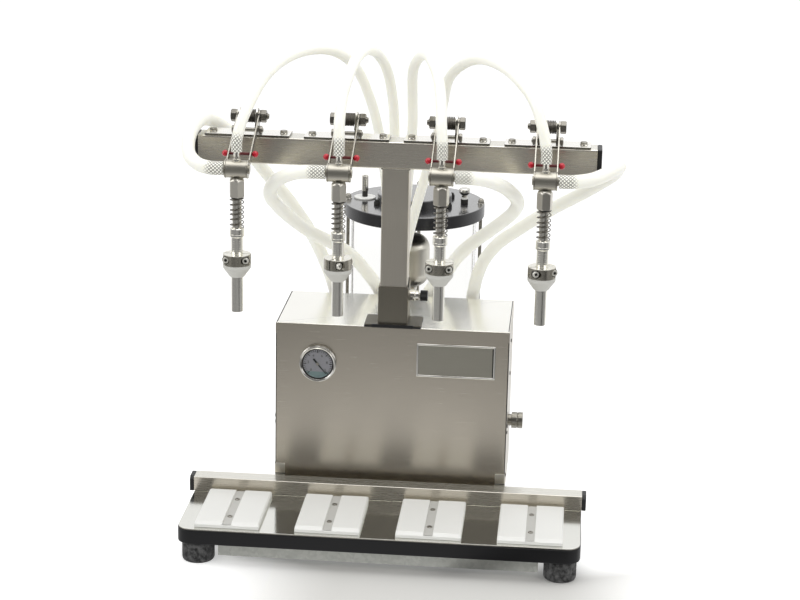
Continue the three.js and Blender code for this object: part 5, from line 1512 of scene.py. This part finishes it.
def make_camera():
    """The photograph's camera: a turn about the aim, a pitch down and a small roll, at a fitted distance."""
    turn, pitch, roll = math.radians(4.749), math.radians(16.589), math.radians(1.204)
    aim = Vector((0.0106, -0.150, 0.3569))
    distance = 3.0718
    sensor, focal_pixels, photo_width = 36, 2076.45, 800
    back = Vector((math.sin(turn) * math.cos(pitch), -math.cos(turn) * math.cos(pitch), math.sin(pitch)))
    right = (-back).cross(Vector((0, 0, 1))).normalized()
    up = right.cross(-back)
    level = math.cos(roll) * right + math.sin(roll) * up
    rise = math.cos(roll) * up - math.sin(roll) * right
    camera = bpy.data.cameras.new("photo_camera")
    camera.sensor_width = sensor
    camera.lens = sensor * focal_pixels / photo_width
    holder = bpy.data.objects.new("photo_camera", camera)
    basis = Matrix((level, rise, back)).transposed().to_4x4()
    holder.matrix_world = Matrix.Translation(aim + distance * back) @ basis
    bpy.context.scene.collection.objects.link(holder)
    bpy.context.scene.camera = holder


# Add-on classes


class FILLER_OT_stage(bpy.types.Operator):
    """Makes the floor, the light and the photograph's camera."""

    bl_idname = "filler.stage"
    bl_label = "Stage"

    def execute(self, context):
        make_stage()
        return {"FINISHED"}


class FILLER_OT_finishes(bpy.types.Operator):
    """Makes every material."""

    bl_idname = "filler.finishes"
    bl_label = "Finishes"

    def execute(self, context):
        make_finishes()
        return {"FINISHED"}


class FILLER_OT_hoses(bpy.types.Operator):
    """Makes the four vacuum hoses and the four product hoses."""

    bl_idname = "filler.hoses"
    bl_label = "Hoses"

    def execute(self, context):
        make_hoses()
        return {"FINISHED"}


class FILLER_OT_base(bpy.types.Operator):
    """Makes the board, the tray, the rails' finish and the feet."""

    bl_idname = "filler.base"
    bl_label = "Base"

    def execute(self, context):
        make_base()
        return {"FINISHED"}


class FILLER_OT_stations(bpy.types.Operator):
    """Makes the pads, the fence and its caps."""

    bl_idname = "filler.stations"
    bl_label = "Bottle stations"

    def execute(self, context):
        make_stations()
        return {"FINISHED"}


class FILLER_OT_housing(bpy.types.Operator):
    """Makes the folded box with its panel, tabs and bare plate."""

    bl_idname = "filler.housing"
    bl_label = "Housing"

    def execute(self, context):
        make_housing()
        return {"FINISHED"}


class FILLER_OT_gauge(bpy.types.Operator):
    """Makes the vacuum gauge and its needle."""

    bl_idname = "filler.gauge"
    bl_label = "Gauge"

    def execute(self, context):
        make_gauge()
        return {"FINISHED"}


class FILLER_OT_side_port(bpy.types.Operator):
    """Makes the hose fitting on the housing's right side."""

    bl_idname = "filler.side_port"
    bl_label = "Side port"

    def execute(self, context):
        make_side_port()
        return {"FINISHED"}


class FILLER_OT_column(bpy.types.Operator):
    """Makes the socket, the clamp knob, the column and the beam."""

    bl_idname = "filler.column"
    bl_label = "Column"

    def execute(self, context):
        make_column()
        return {"FINISHED"}


class FILLER_OT_brackets(bpy.types.Operator):
    """Makes the four brackets with their torsion springs."""

    bl_idname = "filler.brackets"
    bl_label = "Brackets"

    def execute(self, context):
        make_brackets()
        return {"FINISHED"}


class FILLER_OT_heads(bpy.types.Operator):
    """Makes the four swinging heads, their pins and their springs."""

    bl_idname = "filler.heads"
    bl_label = "Heads"

    def execute(self, context):
        make_heads()
        return {"FINISHED"}


class FILLER_OT_sleeves(bpy.types.Operator):
    """Makes the four sleeves with their collars and cones."""

    bl_idname = "filler.sleeves"
    bl_label = "Sleeves"

    def execute(self, context):
        make_sleeves()
        return {"FINISHED"}


class FILLER_OT_vessel(bpy.types.Operator):
    """Makes the overflow vessel, its lid, knob and float."""

    bl_idname = "filler.vessel"
    bl_label = "Vessel"

    def execute(self, context):
        make_vessel()
        return {"FINISHED"}


class FILLER_OT_manifold(bpy.types.Operator):
    """Makes the manifold behind the housing."""

    bl_idname = "filler.manifold"
    bl_label = "Manifold"

    def execute(self, context):
        make_manifold()
        return {"FINISHED"}


OPERATORS = (
    FILLER_OT_stage,
    FILLER_OT_finishes,
    FILLER_OT_hoses,
    FILLER_OT_base,
    FILLER_OT_stations,
    FILLER_OT_housing,
    FILLER_OT_gauge,
    FILLER_OT_side_port,
    FILLER_OT_column,
    FILLER_OT_brackets,
    FILLER_OT_heads,
    FILLER_OT_sleeves,
    FILLER_OT_vessel,
    FILLER_OT_manifold,
)


class FILLER_PT_pieces(bpy.types.Panel):
    """Lists the operators in the order in which they run."""

    bl_label = "Filler"
    bl_idname = "FILLER_PT_pieces"
    bl_space_type = "VIEW_3D"
    bl_region_type = "UI"
    bl_category = "Filler"

    def draw(self, context):
        for made in OPERATORS:
            self.layout.operator(made.bl_idname)


CLASSES = [FillerSizes, FillerColours, *OPERATORS, FILLER_PT_pieces]


def register():
    for made in CLASSES:
        bpy.utils.register_class(made)
    bpy.types.Scene.filler_sizes = bpy.props.PointerProperty(type=FillerSizes)
    bpy.types.Scene.filler_colours = bpy.props.PointerProperty(type=FillerColours)


def unregister():
    del bpy.types.Scene.filler_colours
    del bpy.types.Scene.filler_sizes
    for made in reversed(CLASSES):
        bpy.utils.unregister_class(made)


def main():
    register()
    for made in OPERATORS:
        family, action = made.bl_idname.split(".")
        getattr(getattr(bpy.ops, family), action)()


if __name__ == "__main__":
    main()
